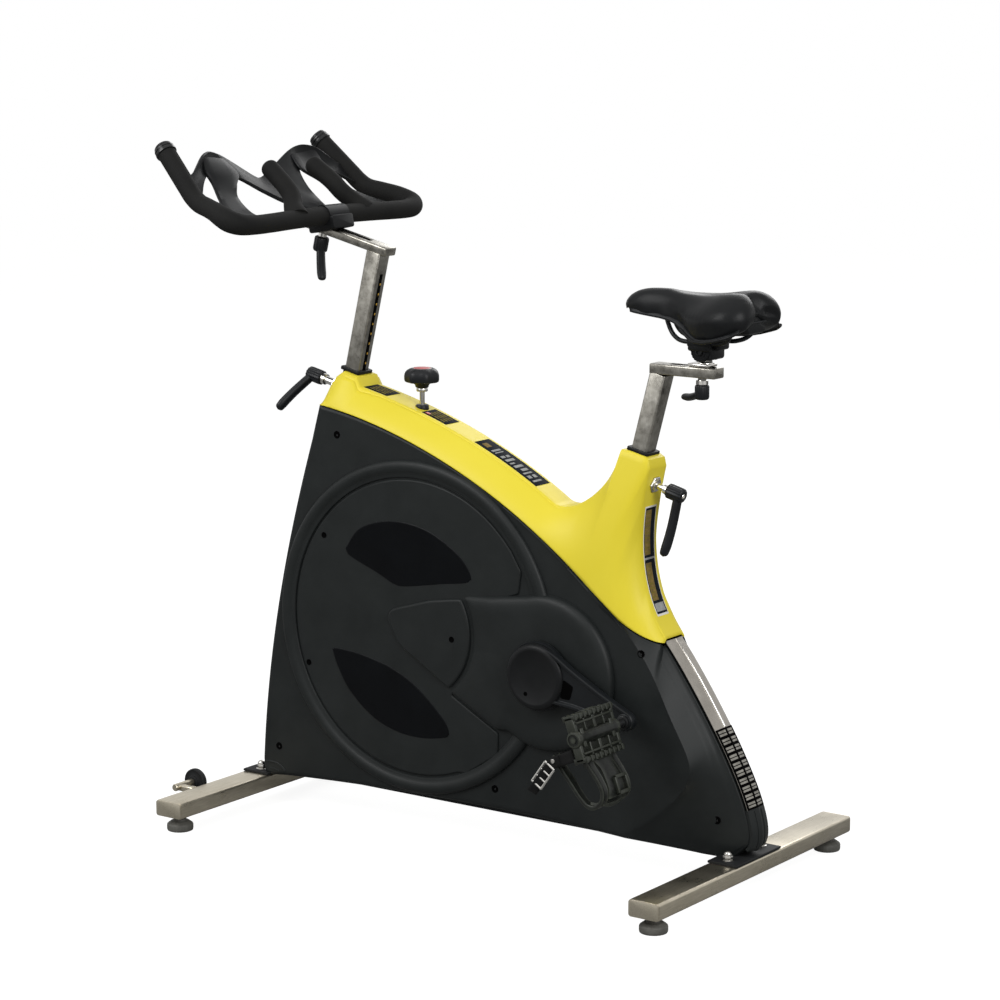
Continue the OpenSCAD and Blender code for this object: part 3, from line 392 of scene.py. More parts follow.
finishes = {
    # painted steel and moulded plastics: dark, faintly mottled
    # blackened screws: near black, with a dull metal glint
    "blackOxideSteel": dict(colour="141516", colour2="1c1d1e", rough=0.4, grain=0.8, metallic=0.5),
    # sprayed and baked paint: even black with a soft broad highlight
    "satinBlackPaint": dict(colour="0f1113", colour2="15181a", rough=0.4, grain=1.5, bump=0.1, specular=0.22),
    # big moulded covers: fine spark-eroded grain that breaks up the light, faint mottling
    "mouldedAbs": dict(colour="171a1a", colour2="1d2020", rough=0.48, grain=1.4, bump=0.35, depth=0.12,
                       roughSpread=0.06,
                       specular=0.22),
    # tinted windows: deeper and smoother than the covers round them
    "smokedAcrylic": dict(colour="040507", colour2="07090c", rough=0.3, grain=3.0, bump=0.03,
                          roughSpread=0.03, specular=0.12),
    # small hard mouldings: slightly rough black with short highlights
    "glassFilledNylon": dict(colour="0d0e10", colour2="15171a", rough=0.42, grain=1.0, bump=0.3, depth=0.1,
                             specular=0.25),
    # moulded in the colour: smooth, warm, with a slow drift of tone
    "yellowAbs": dict(colour="ddcb33", colour2="e1d03d", blotch=180, rough=0.4, grain=2.0, bump=0.08,
                      depth=0.06, roughSpread=0.03,
                      specular=0.22),
    # brushed bars: streaks across the tube, warm grey, darker handling marks
    "brushedTube": dict(colour="cbc3b0", colour2="d8d0be", blotch=40, rough=0.3, grain=1.6, metallic=1.0,
                        bump=0.1, depth=0.04,
                        stretch=(1, 0.06, 1), streak=0.45, streakColour="a9a08d"),
    # brushed posts: streaks along the length and cloudy patches from wear
    "brushedPost": dict(colour="7d7a73", colour2="b6b3ab", blotch=13, rough=0.3, grain=1.4, metallic=1.0,
                        bump=0.12, depth=0.04,
                        stretch=(1, 1, 0.06), streak=0.4, streakColour="7b786f"),
    # brushed strip: the same streaks, a shade darker
    "brushedStrip": dict(colour="a39e96", colour2="b4afa7", blotch=30, rough=0.28, grain=1.4, metallic=1.0,
                         bump=0.1, depth=0.04,
                         stretch=(1, 1, 0.06), streak=0.45, streakColour="86827a"),
    # plated bolts and nuts: small, bright, nearly mirror
    "chromePlate": dict(colour="e3e1dc", colour2="d6d3cd", rough=0.1, grain=2.0, metallic=1.0, bump=0.02,
                        roughSpread=0.03),
    # turned and ground parts: fine even grey
    "groundSteel": dict(colour="9a9b9a", colour2="a9a9a7", rough=0.3, grain=0.7, metallic=1.0, bump=0.08),
    # cast flywheel: dark, coarse and dull
    "castIron": dict(colour="2b2c2e", colour2="36373a", rough=0.55, grain=1.1, bump=0.5, depth=0.2,
                     metallic=0.4),
    # belt: matt black
    "beltRubber": dict(colour="141414", colour2="1c1c1c", rough=0.7, grain=0.8, bump=0.2),
    # wheels: matt black with a fine grain
    "mouldedRubber": dict(colour="141516", colour2="1d1e1f", rough=0.62, grain=0.9, bump=0.3, depth=0.1,
                          specular=0.2),
    # levelling feet: rubber painted mid grey for the highlights on its sides, in soft blotches
    "greyRubber": dict(colour="4d4c48", colour2="62615c", blotch=18, rough=0.55, grain=0.9, bump=0.3,
                       depth=0.1, specular=0.3),
    # dipped foam: soft black that hardly shines
    "foamedPolyurethane": dict(colour="171717", colour2="1e1e1d", rough=0.78, grain=1.0, bump=0.45,
                               depth=0.15, specular=0.12),
    # stretched vinyl: smooth black with broad soft highlights
    "glossVinyl": dict(colour="141516", colour2="1a1b1c", rough=0.36, grain=1.0, bump=0.25, depth=0.08,
                       specular=0.12),
    # webbing: coarse matt weave
    "wovenNylon": dict(colour="0d0d0d", colour2="151515", rough=0.75, grain=0.9, bump=0.5, depth=0.2,
                       stretch=(1, 1, 3), specular=0.15),
    # polished moulding: crisp highlights on black
    "glossPolypropylene": dict(colour="0b0c0d", colour2="111213", rough=0.26, grain=1.4, bump=0.08,
                               roughSpread=0.04, specular=0.35),
    # finer moulded parts: between matt and gloss
    "satinMoulding": dict(colour="131415", colour2="1a1b1c", rough=0.42, grain=1.2, bump=0.2, depth=0.08,
                          specular=0.14),
    # insides of slots and holes: reads as depth
    "slotShadow": dict(colour="020202", colour2="050505", rough=0.8, grain=1.5, bump=0.2, specular=0.02),
    # printed marks: flat, slightly dusty ochre
    "printedYellow": dict(colour="b48a2c", colour2="c39a3a", blotch=8, rough=0.5, grain=0.8, bump=0.1),
    # pad printed insert: red, with paler streaks painted in as sheen
    "redInlay": dict(colour="b03a3c", colour2="be5052", blotch=14, rough=0.38, grain=0.9, bump=0.12,
                     streak=0.3, streakColour="c87472"),
    # pedals: black, paler on the sharp corners: painted scuffs together with painted edge highlights
    "scuffAndHighlightNylon": dict(colour="0b0c0b", colour2="20231f", blotch=9, rough=0.38, grain=1.2, bump=0.35,
                      depth=0.14, edgeScuffAndHighlight=0.6, edgeScuffAndHighlightColour="565a4f",
                      specular=0.34),
    # printed film: dark and flat
    "printedLabel": dict(colour="14181d", colour2="1b2026", blotch=14, rough=0.6, grain=1.5, bump=0.06,
                         specular=0.02),
    # printed border: dull off-white
    "labelBorder": dict(colour="d3d1ca", colour2="dfddd7", blotch=10, rough=0.6, grain=1.2, bump=0.06,
                        specular=0.02),
    # printed block: muddy ochre
    "labelOchre": dict(colour="8a7340", colour2="5d5236", blotch=6, rough=0.6, grain=1.0, bump=0.1,
                       specular=0.02),
    # printed bars: olive
    "labelOlive": dict(colour="6a5f2c", colour2="7d7033", blotch=7, rough=0.6, grain=1.0, bump=0.08,
                       specular=0.02),
    # printed bars: mid grey
    "labelGrey": dict(colour="a3a4a2", colour2="8a8b8b", blotch=8, rough=0.6, grain=1.0, bump=0.08,
                      specular=0.02),
    # plated pressings: pale, softly shining
    "zincPlate": dict(colour="c9c7c2", colour2="bdbbb6", blotch=20, rough=0.24, grain=0.8, metallic=1.0,
                      bump=0.05),
    # brake felt: fibrous brown, no shine
    "pressedFelt": dict(colour="7a6444", colour2="8a7351", rough=0.95, grain=0.7, bump=0.8, depth=0.4),
}
made = {name: finishOf(name, spec) for name, spec in finishes.items()}
slotFinish = {
    "foot_bar_steel": "brushedTube", "post_steel": "brushedPost", "frame_paint": "satinBlackPaint",
    "shell_plastic": "mouldedAbs", "yellow_cover": "yellowAbs", "window_plastic": "smokedAcrylic",
    "black_plastic": "glassFilledNylon", "lever_plastic": "glassFilledNylon", "strap_webbing": "wovenNylon",
    "screw_steel": "blackOxideSteel", "chrome": "chromePlate", "machined_steel": "groundSteel",
    "flywheel_iron": "castIron", "pulley_aluminium": "groundSteel", "belt_rubber": "beltRubber",
    "crank_paint": "satinBlackPaint", "grip_rubber": "foamedPolyurethane", "rail_steel": "satinBlackPaint",
    "saddle_vinyl": "glossVinyl", "felt": "pressedFelt", "foot_rubber": "mouldedRubber",
}
slotOf = {s["node"]: s["material_slot"] for s in frame["record"]["subparts"]}
bodyOf = {n: body for body, members in frame["record"]["behaviour"]["bodies"].items() for n in members}
for node, obj in frame["nodes"].items():
    obj.data.materials.clear()
    obj.data.materials.append(made[slotFinish[slotOf[node]]])


def place(obj, node, *finishNames, slot=None, also=(), hides=True):
    # puts a finished piece on the body of the node it stands for
    for n in finishNames or (slotFinish[slotOf[node]],):
        obj.data.materials.append(made[n])
    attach(obj, bodyOf[node])
    if hides:
        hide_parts(node, *also)
    return obj


def show(name, parts, node, *finishNames, **how):
    # several closed parts as one mesh, put on the body of their node
    return place(makeObject(name, *joined(parts)), node, *finishNames, **how)


def eased(node, width, angle=30, segments=2):
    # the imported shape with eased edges
    return place(rounded(copyOf(node), width, segments, angle), node)


print("materials made")

# camera, light and floor
eye = bpy.data.cameras.new("camera")
eye.lens, eye.sensor_width, eye.clip_end = 108.73, 36, 60
camera = bpy.data.objects.new("camera", eye)
camera.location = (2.7076, -3.7683, 1.3667)
camera.rotation_euler = (math.radians(90 - 10.0521), 0, math.radians(35.4328))
bpy.context.scene.collection.objects.link(camera)
bpy.context.scene.camera = camera


def softbox(name, where, aim, size, watts):
    lamp = bpy.data.lights.new(name, "AREA")
    lamp.shape, lamp.size, lamp.size_y, lamp.energy = "RECTANGLE", size[0], size[1], watts
    obj = bpy.data.objects.new(name, lamp)
    obj.location = where
    obj.rotation_euler = (Vector(aim) - Vector(where)).to_track_quat("-Z", "Y").to_euler()
    bpy.context.scene.collection.objects.link(obj)


softbox("overhead", (0.3, -0.9, 3.4), (0, 0, 0.5), (3.0, 3.0), 13)
softbox("leftBox", (-1.2, -2.5, 2.5), (0.1, 0, 0.75), (1.7, 1.7), 62)
softbox("rightBox", (2.9, -1.3, 2.0), (0.1, 0, 0.75), (1.4, 1.8), 60)
softbox("backBox", (-0.5, 3.2, 2.4), (0, 0, 0.6), (2.4, 1.6), 40)

world = bpy.data.worlds.new("studio")
bpy.context.scene.world = world
world.use_nodes = True
tree = world.node_tree
tree.nodes.clear()
path = add(tree, "LightPath", {}).outputs
seen = add(tree, "Math", {"operation": "MAXIMUM", 0: path["Is Camera Ray"],
                          1: path["Is Transmission Ray"]}).outputs[0]
mirrored = add(tree, "Math", {"operation": "MULTIPLY", 0: path["Is Glossy Ray"], 1: 0.66}).outputs[0]
seen = add(tree, "Math", {"operation": "MAXIMUM", 0: seen, 1: mirrored}).outputs[0]
strength = add(tree, "MapRange", {"Value": seen, "To Min": 0.34, "To Max": 1.0}).outputs[0]
sky = add(tree, "Background", {"Color": (1, 1, 1, 1), "Strength": strength})
add(tree, "OutputWorld", {"Surface": sky.outputs[0]})

floor = makeObject("floor", [[-9000, -9000, -0.3], [9000, -9000, -0.3], [9000, 9000, -0.3],
                             [-9000, 9000, -0.3]], [[0, 1, 2, 3]])
paper = bpy.data.materials.new("whitePaper")
paper.use_nodes = True
tree = paper.node_tree
tree.nodes.clear()
path = add(tree, "LightPath", {}).outputs
fleck = add(tree, "TexNoise", {"Vector": add(tree, "TexCoord", {}).outputs["Object"], "Scale": 3.0})
tint = add(tree, "Mix", {"data_type": "RGBA", 0: fleck.outputs["Fac"], 6: rgb("90908f"), 7: rgb("949493")})
matte = add(tree, "BsdfDiffuse", {"Color": tint.outputs[2]})
glow = add(tree, "Emission", {"Color": (1, 1, 1, 1), "Strength": add(tree, "Math",
        {"operation": "MULTIPLY", 0: path["Is Camera Ray"], 1: 0.9}).outputs[0]})
both = add(tree, "AddShader", {0: matte.outputs[0], 1: glow.outputs[0]})
add(tree, "OutputMaterial", {"Surface": both.outputs[0]})
floor.data.materials.append(paper)
view = bpy.context.scene.view_settings
view.view_transform = "Standard"
print("studio set")

# the two black half shells and the yellow cover
axleXZ, crankXZ = np.array([-97.0, 338.0]), np.array([157.0, 300.0])
casing = dict(half=58.0, tailHalf=24.0, edge=7.0, wall=3.0, seamGap=1.6)
browPoint, spineTop = np.array([-285.0, 677.0]), np.array([349.0, 366.0])
noseLine = bezier((-413, 78), (-400, 300), (-345, 500), browPoint, 70)
seamLine = np.vstack([bezier(browPoint, (-120, 655), (60, 575), (177, 483), 90),
                      bezier((177, 483), (232, 441), (285, 382), spineTop, 50)[1:]])
spineLine = bezier(spineTop, (366.7, 351.4), (543.9, 105.3), (495, 66), 60)
soleLine = bezier((-408, 52), (-250, 64), (100, 82), (446, 50), 120)


def seamHalf(x):
    # half width of the casing along the seam: full until x 230, then a quarter ellipse down to the tail's
    drop = np.sqrt(np.clip(1 - (np.clip(x - 230, 0, 119.4) / 119.5) ** 2, 0, 1))
    return casing["tailHalf"] + (casing["half"] - casing["tailHalf"]) * drop


def halfShell(side):
    # outer sheet: a flat panel as far as the crease and a ruled panel on to the tail, both coons patches;
    # along the nose, the sole and the tail it rolls over to the middle plane with a quarter circle
    half = casing["half"]
    t = unit(np.gradient(spineLine, axis=0))
    spineIn = (spineLine - 6 * np.c_[-t[:, 1], t[:, 0]])[::-1]
    corner = softCorners([(-413, 78), (-411, 50), (-380, 54)], 14)[6:12]
    heel = softCorners([(420, 56), (466, 49), spineIn[2]], 16)[6:12]
    counts = (110, 150, 34, 70)
    mid = soleLine[np.abs(soleLine[:, 0] + 30) < 330]
    stretches = [np.vstack([noseLine[::-1], corner[:3]]), np.vstack([corner[2:], mid[:, :]]),
                 np.vstack([mid[-1], soleLine[(soleLine[:, 0] > 302) & (soleLine[:, 0] < 425)], heel]),
                 np.vstack([heel[-1], spineIn[3:]])]
    chain = np.vstack([resampled(p, n)[i > 0:] for i, (p, n) in enumerate(zip(stretches, counts))])
    ends = np.cumsum([0] + [n - (i > 0) for i, n in enumerate(counts)]) - 1
    ends[0] = 0
    t = unit(np.gradient(chain, axis=0))
    inward = np.c_[-t[:, 1], t[:, 0]]
    x, order = chain[:, 0], np.arange(len(chain))
    roll = np.interp(order, [0, 10, ends[1] - 6, ends[3] - 12, ends[3] + 6, len(chain) - 1],
                     [1.5, casing["edge"], casing["edge"], casing["edge"], 2, 1.5])
    tailShare = np.where(order >= ends[3], 1.0, np.clip((x - x[ends[2]]) / (x[ends[3]] - x[ends[2]]), 0,
            1) * (order > ends[2]))
    y = half - (half - casing["tailHalf"]) * tailShare
    rim = np.c_[chain[:, 0] + inward[:, 0] * roll, y, chain[:, 1] + inward[:, 1] * roll]
    seam = seamLine - np.array([0, casing["seamGap"]])
    k = int(np.argmin(np.abs(seam[:, 0] - 232)))
    seam3 = np.c_[seam[:, 0], seamHalf(seam[:, 0]), seam[:, 1]]
    seam3[0], seam3[-1] = rim[0], rim[-1]
    front, rear = resampled(seam3[:k + 1], counts[1]), resampled(seam3[k:], 41)
    crease = through([(x[ends[2]], 68), (345, 98), (388, 136), (410, 168), (411, 201), (380, 259), (338, 335),
                      (288, 394), (232, 441)], 110)
    crease3 = np.c_[crease[:, 0], np.full(len(crease), half), crease[:, 1]]
    crease3[0], crease3[-1] = rim[ends[2]], front[-1]
    flat = coons(rim[:ends[1] + 1][::-1], crease3, rim[ends[1]:ends[2] + 1], front)
    outer = np.vstack([rim[ends[3]:], rear[::-1][1:]])
    taper = coons(crease3, outer, rim[ends[2]:ends[3] + 1], np.repeat(front[-1][None], counts[2], 0))
    a = np.radians(np.array([0, 18, 36, 54, 72, 90]))[:, None]
    over = np.stack([rim[:, 0] - inward[:, 0] * roll * np.sin(a), y - roll * (1 - np.cos(a)),
                     rim[:, 2] - inward[:, 1] * roll * np.sin(a)], -1)
    inner = np.stack([np.c_[chain[:, 0], np.full(len(x), w), chain[:, 1]] for w in (12.0, 0.2)])
    over = np.concatenate([over, inner])
    return joined([(g.reshape(-1, 3) * (1, side, 1), gridFaces(*g.shape[:2]).tolist()) for g in (flat, taper,
            over)])


for side, node in ((-1, "left_side_shell"), (1, "right_side_shell")):
    shell = makeObject(node + "_moulding", *halfShell(side))
    place(thickened(shell, casing["wall"]), node)
print("side shells made")

coverShape = dict(flare=1.3, steps=26, wall=2.6)


def seamAt(share):
    # the seam as two cubic curves, 20 and 14 parts of 34
    i = np.clip(share, 0, 1) * 34
    t = np.where(i < 20, i / 20, (i - 20) / 14)[:, None]
    first = np.array([(-285, 677), (-120, 655), (60, 575), (177, 483)], float)
    second = np.array([(177, 483), (232, 441), (285, 382), (349, 366)], float)
    p = np.where((i < 20)[:, None, None], first, second)
    s = 1 - t
    return s ** 3 * p[:, 0] + 3 * s * s * t * p[:, 1] + 3 * s * t * t * p[:, 2] + t ** 3 * p[:, 3]


def crownLine():
    # the cover's upper line with, for each point, the share f of the way from brow to tail
    f = [np.array([0, 1, 2, 3, 4]) / 47, np.linspace(5, 19, 60) / 47, np.linspace(19, 31, 50)[1:] / 47,
         np.array([31.7, 32.5, 33]) / 47, np.linspace(33.4, 47, 56) / 47]
    rear = bezier((318, 632), (300, 560), (281, 455), (349, 372), 57)[1:]
    p = [np.array([(-285, 681), (-284, 703), (-276, 720), (-262, 729), (-233, 722)], float),
         bezier((-226, 706), (-106, 680), (23, 635), (143, 558), 60),
         bezier((143, 558), (173, 539), (249, 585), (266, 652), 50)[1:],
         np.array([(280, 650.5), (306, 644.5), (314, 640)], float), rear]
    return np.concatenate(f), np.vstack(p)


def topCover():
    # each station is one cross-section: the side flares from crown to seam as 1 - s to the power 1.3,
    # its upper corner is a quarter round and the top is flat
    f, top = crownLine()
    share = np.select([f < 0.1, f < 0.42, f < 0.72], [0.4 * f, 0.04 + 1.45 * (f - 0.1),
            0.504 + 0.75 * (f - 0.42)],
                      0.729 + 0.968 * (f - 0.72))
    low = seamAt(share) + np.array([0, 0.4])
    half = np.interp(f, [0, 0.11, 0.14, 0.6, 0.66, 0.78, 0.82, 0.92, 0.95, 1],
                     [30, 30, 27, 23.4, 24, 24, 20, 20, 24, 24])
    foot = seamHalf(low[:, 0])
    tall = np.linalg.norm(top - low, axis=1)
    corner = np.minimum(np.interp(f, [0, 0.1, 0.14, 1], [8, 8, 3.2, 3.2]), 0.45 * tall)
    s = np.linspace(0, 1, coverShape["steps"])[None, :] * (1 - corner / np.maximum(tall, 1))[:, None]
    y = half[:, None] + (foot - half)[:, None] * (1 - s ** coverShape["flare"])
    a = np.radians(np.linspace(15, 90, 6))[None, :]
    sCorner = 1 - (corner / np.maximum(tall, 1))[:, None] * (1 - np.sin(a))
    yCorner = half[:, None] - corner[:, None] * (1 - np.cos(a))
    flat = (half - corner)[:, None] * np.array([0.66, 0.33, 0.0])[None, :]
    s, y = np.hstack([s, sCorner, np.ones_like(flat)]), np.hstack([y, yCorner, flat])
    p = low[:, None, :] + s[..., None] * (top - low)[:, None, :]
    left = np.stack([p[..., 0], -y, p[..., 1]], -1)
    sheet = np.concatenate([left, (left * (1, -1, 1))[:, ::-1][:, 1:]], 1)
    return sheet.reshape(-1, 3), gridFaces(*sheet.shape[:2]).tolist()


cover = thickened(makeObject("top_cover_moulding", *topCover()), coverShape["wall"])
place(cover, "top_cover")
print("top cover made")

# round cover, its panel, windows and hatch, and the belt cover
roundCover = dict(radius=267.0, panel=236.5, base=59.0, panelTop=62.4)
rimBead = [(0, 55), (262, 55), (267, 58), (266.8, 61), (265, 64), (261.5, 66), (257, 66.6), (252, 66.2),
           (248.5, 64.4), (246.5, 63.2),
        (243, 62.8), (240.6, 62.2), (239.6, 60.6), (239.4, 59), (120, 59), (0, 59)]
edgeRound = [(0.6, 0.0), (0, 0.5), (0, 1.6), (0.35, 2.5), (1.2, 3.1), (2.2, 3.4)]


def panelOutline(side):
    # the raised panel: a circle cut by straight grooves beside the belt cover and at the lower corner
    if side > 0:
        return arc(axleXZ, roundCover["panel"], 0, 360, 181)[:-1]
    cut = [(99, 468), (109, 452), (104, 417), (36, 392), (36, 330), (2, 262), (-24, 240), (66, 192),
           (65, 157), (5, 118)]
    start, stop = math.degrees(math.atan2(-220, 102)), math.degrees(math.atan2(132, 199)) - 360
    return softCorners(np.vstack([cut, arc(axleXZ, roundCover["panel"], start, stop, 70)[1:-1]]), 4, 4)


windowShapes = {-1: (((-231, 452), (-205, 485), (-160, 502), (-110, 505), (-60, 494), (-10, 466), (14, 437),
                      (8, 424), (-40, 416),
                      (-110, 404), (-135, 405), (-170, 420), (-222, 440)),
                     ((-260, 284), (-247, 286), (-200, 282), (-140, 268), (-90, 243), (-40, 200), (-28, 178),
                      (-36, 170), (-80, 163),
                      (-130, 166), (-180, 184), (-225, 220), (-250, 258)))}
windowShapes[1] = windowShapes[-1]
glassProfile = [(0.8, 61.6), (0, 62.0), (0, 62.45), (0.5, 62.7), (1.5, 62.8)]
for side, node in ((-1, "left_flywheel_cover"), (1, "right_flywheel_cover")):
    base = turned(rimBead, (-97, 0, 338), (0, side, 0), 300)
    panel = plaque(panelOutline(side), [(d, roundCover["base"] - 0.4 + h) for d, h in edgeRound], side)
    place(makeObject(node + "_moulding", *joined([base, panel])), node)
panes = [plaque(through(list(w) + [w[0]], 90)[:-1], glassProfile, side) for side in (-1,
        1) for w in windowShapes[side]]
show("window_panes", panes, "flywheel_windows")

hatchCut = softCorners(np.vstack([arc(axleXZ, 111.5, 32, -51, 24),
                                  [(-124, 309), (-147, 350), (-138, 365), (-61, 388)]]), 9, 4)
hatchEdge = [(0.8, 61.6), (0, 62.2), (0, 64.4), (0.5, 65.6), (1.6, 66.4), (3.4, 66.8)]
hatch = makeObject("hatch_moulding", *plaque(hatchCut, hatchEdge))
place(hatch, "access_cover")

beltOutline = softCorners(np.vstack([arc(axleXZ, 114.4, -54, 32.4, 24), [(8, 403), (50, 407), (85, 412)],
                                     arc(crankXZ, 122, 106, -124, 60), [(66, 197)]]), 4, 3)
beltEdge = [(0, 2.2), (0.5, 4.6), (1.6, 7.2), (3.6, 9.6), (6.4, 11.4), (10.5, 12.7), (16, 13.5), (24, 14)]
beltFace = dished(beltOutline, np.array([118.0, 305.0]), beltEdge,
                  lambda x, z, h: 58.6 + h * (0.34 + 0.66 * ease((x + 6 + 0.25 * np.abs(z - 320)) / 95)))
place(makeObject("belt_cover_moulding", *beltFace), "belt_cover")
rightRound = dished(arc(crankXZ, 122, 0, 360, 121)[:-1], crankXZ, [(d, h * 0.55) for d, h in beltEdge],
                    lambda x, z, h: 58.6 + h + 0 * x, side=1)
place(makeObject("right_crank_cover_moulding", *rightRound), "right_crank_cover")
print("covers made")

# handlebar: foam-coated tube, inner grips, end caps and cradles
grip = dict(tube=15.0, inner=14.6, corner=2.4, sheet=4.2)
halfBar = through([(-302, 0, 975), (-302, 60, 974), (-301.5, 110, 973), (-300.5, 150, 972),
                   (-301, 190, 971.5), (-306, 216, 973),
                   (-317, 230, 978), (-334, 230.5, 985), (-350, 227, 991), (-372, 220, 996.5),
                   (-394, 213, 1001.5),
                   (-410, 209.5, 1011), (-426, 206, 1026), (-452, 200, 1051), (-478, 194, 1076)], 150)
flip = np.array([1, -1, 1])
wholeBar = np.vstack([halfBar[::-1] * flip, halfBar[1:]])


def barRadius(path):
    # the coating is a little fuller round the two outer corners: a bell curve of the distance to them
    corner = np.array([-322, 229, 979])
    d = np.linalg.norm(path * (1, 0, 1) + np.abs(path) * (0, 1, 0) - corner, axis=1)
    return grip["tube"] + grip["corner"] * np.exp(-(d / 26) ** 2)


def innerGrip(side):
    # tube with a flared root and a round end: the radius follows a square-root dome over the last 14 mm
    path = through([(-303, 86, 975), (-310, 82, 982), (-318, 77, 990), (-332, 64, 1006), (-348, 60, 1022),
                    (-368, 57, 1037), (-392, 53.4, 1054.4)], 70)
    run = np.r_[0, np.cumsum(np.linalg.norm(np.diff(path, axis=0), axis=1))]
    left = run[-1] - run
    r = grip["inner"] * np.sqrt(np.clip(1 - np.clip(1 - left / 13, 0, 1) ** 2.4, 0.001,
                                        1)) + 4.5 * np.exp(-(run / 17) ** 2)
    return tube(path * (1, side, 1), r, 28)


place(makeObject("handlebar_foam", *joined([tube(wholeBar, barRadius(wholeBar), 32), innerGrip(-1),
                                            innerGrip(1)])), "handlebar")
capProfile = [(0, -3), (15.6, -3), (16.9, -2.2), (17.2, 0), (16.9, 2.6), (15.9, 3.2), (15.4, 3.5),
              (15.4, 4.5), (16.2, 4.9), (16.4, 7.4),
              (15.8, 8.4), (14.4, 8.9), (14.4, 9.6), (14.9, 10), (14.6, 12), (13, 13.6), (9.5, 14.6), (4, 15),
              (0, 15)]
capDirection = np.array([-26, -6, 25])
caps = [turned(capProfile, np.array([-478, 194, 1076]) * (1, side, 1), capDirection * (1, side, 1),
               48) for side in (-1, 1)]
show("grip_end_caps", caps, "handlebar_end_caps", "glossPolypropylene")


def alongIndex(points, n):
    # Catmull-Rom line read evenly by point number, so that two edges keep step
    p = np.asarray(points, float)
    p = np.vstack([2 * p[0] - p[1], p, 2 * p[-1] - p[-2]])
    u = np.linspace(0, len(p) - 3.000001, n)
    i = u.astype(int)
    t = (u - i)[:, None]
    a, b, c, d = p[i], p[i + 1], p[i + 2], p[i + 3]
    return 0.5 * (2 * b + (c - a) * t + (2 * a - 5 * b + 4 * c - d) * t * t + (3 * b - 3 * c + d - a) * t ** 3)


def sheetBetween(one, other, thick, n=90, crown=0.0, lip=0.5):
    # strip whose two long edges are exactly the given lines: the middle of each pair, plus s of half the way
    # across, plus the rounded height h square to that way and to the run
    a, b = alongIndex(one, n), alongIndex(other, n)
    run = unit(np.gradient((a + b) / 2, axis=0))
    up = unit(np.cross(unit(b - a), run))
    s, h = stripProfile(thick, lip, crown)
    points = ((a + b) / 2)[:, None] + s[None, :, None] * ((b - a) / 2)[:, None] + h[None, :, None] * up[:,
            None]
    faces = gridFaces(n, len(s), False, True).tolist()
    return points, faces + [list(range(len(s)))[::-1], [(n - 1) * len(s) + i for i in range(len(s))]]


rearEdge = [(-324, 0, 984), (-330, 20, 984), (-356, 38, 991), (-392, 54, 1008), (-424, 72, 1027),
            (-444, 92, 1037), (-450, 112, 1041),
            (-446, 132, 1040), (-436, 152, 1034), (-424, 170, 1024), (-408, 190, 1011)]
frontEdge = [(-455, 0, 1026), (-455, 16, 1031), (-456, 36, 1041), (-459, 60, 1054), (-461, 84, 1066),
             (-461, 104, 1073), (-457, 122, 1075),
             (-449, 142, 1070), (-443, 160, 1058), (-439, 176, 1046), (-438, 193, 1038)]
rearWhole = [np.multiply(p, flip) for p in rearEdge[:0:-1]] + [np.array(p, float) for p in rearEdge]
frontWhole = [np.multiply(p, flip) for p in frontEdge[:0:-1]] + [np.array(p, float) for p in frontEdge]
tongueOut = [(-451, 142, 1066), (-440, 147, 1045), (-429, 143, 1026), (-402, 160, 1006), (-372, 180, 990),
             (-334, 194, 978), (-304, 198, 973)]
tongueIn = [(-455, 84, 1060), (-430, 79, 1038), (-412, 102, 1021), (-394, 121, 1003), (-356, 134, 982),
            (-320, 144, 975), (-302, 148, 972)]
sheets = [sheetBetween(rearWhole, frontWhole, grip["sheet"], 200, 2.5)]
sheets += [sheetBetween(np.multiply(tongueIn, (1, s, 1)), np.multiply(tongueOut, (1, s, 1)), grip["sheet"],
                        60, 2.0) for s in (-1, 1)]
show("cradle_sheets", sheets, "bottle_cradles", "satinMoulding")

# clamp block under the tube
clampBlock = [bar((-330, 0, 955.5), (-278, 0, 966.5), 52, 22, (0, 1, 0), 4, 2),
              tube([(-302, -25, 975), (-302, 25, 975)], 16.4, 48, (0, 0, 1)),
              bar((-330, 0, 964), (-282, 0, 967), 50, 12, (0, 1, 0), 4, 2)]
show("stem_clamp_block", clampBlock, "handlebar_clamp", "satinMoulding")
print("handlebar made")

# posts, rails and collars


def leaning(foot, lean, s, across=0.0, ahead=0.0):
    # point s along a leaned post, moved sideways and square to it
    a = math.radians(lean)
    return np.array([foot[0] + s * math.sin(a) + ahead * math.cos(a), across,
                     foot[1] + s * math.cos(a) - ahead * math.sin(a)])


frontFoot = (-209.5 + (727 - 920) * math.tan(math.radians(13.4)), 727.0)
seatFoot = (321.8 + (647 - 768) * math.tan(math.radians(15)), 647.0)
frontUp, seatUp = 193 / math.cos(math.radians(13.4)), 121 / math.cos(math.radians(15))
up = leaning((0, 0), 13.4, 1)
railAhead = leaning((0, 0), 13.4, 0, 0, 1)
railOrigin = leaning(frontFoot, 13.4, frontUp + 7)
post = bar(leaning(frontFoot, 13.4, -165), leaning(frontFoot, 13.4, frontUp + 1), 28, 28, (0, 1, 0), 3.2, 0.6)
rail = bar(railOrigin - 146 * railAhead, railOrigin + 24 * railAhead, 28, 14, (0, 1, 0), 3.0, 2.2)
place(makeObject("handlebar_post_tube", *joined([post, rail])), "handlebar_post", "brushedPost")
post = bar(leaning(seatFoot, 15, -190), leaning(seatFoot, 15, seatUp + 1), 28, 28, (0, 1, 0), 3.2, 0.6)
rail = bar((308, 0, 776), (421, 0, 776), 28.4, 16, (0, 1, 0), 2.6, 1.4)
place(makeObject("seat_post_tube", *joined([post, rail])), "seat_post", "brushedPost")

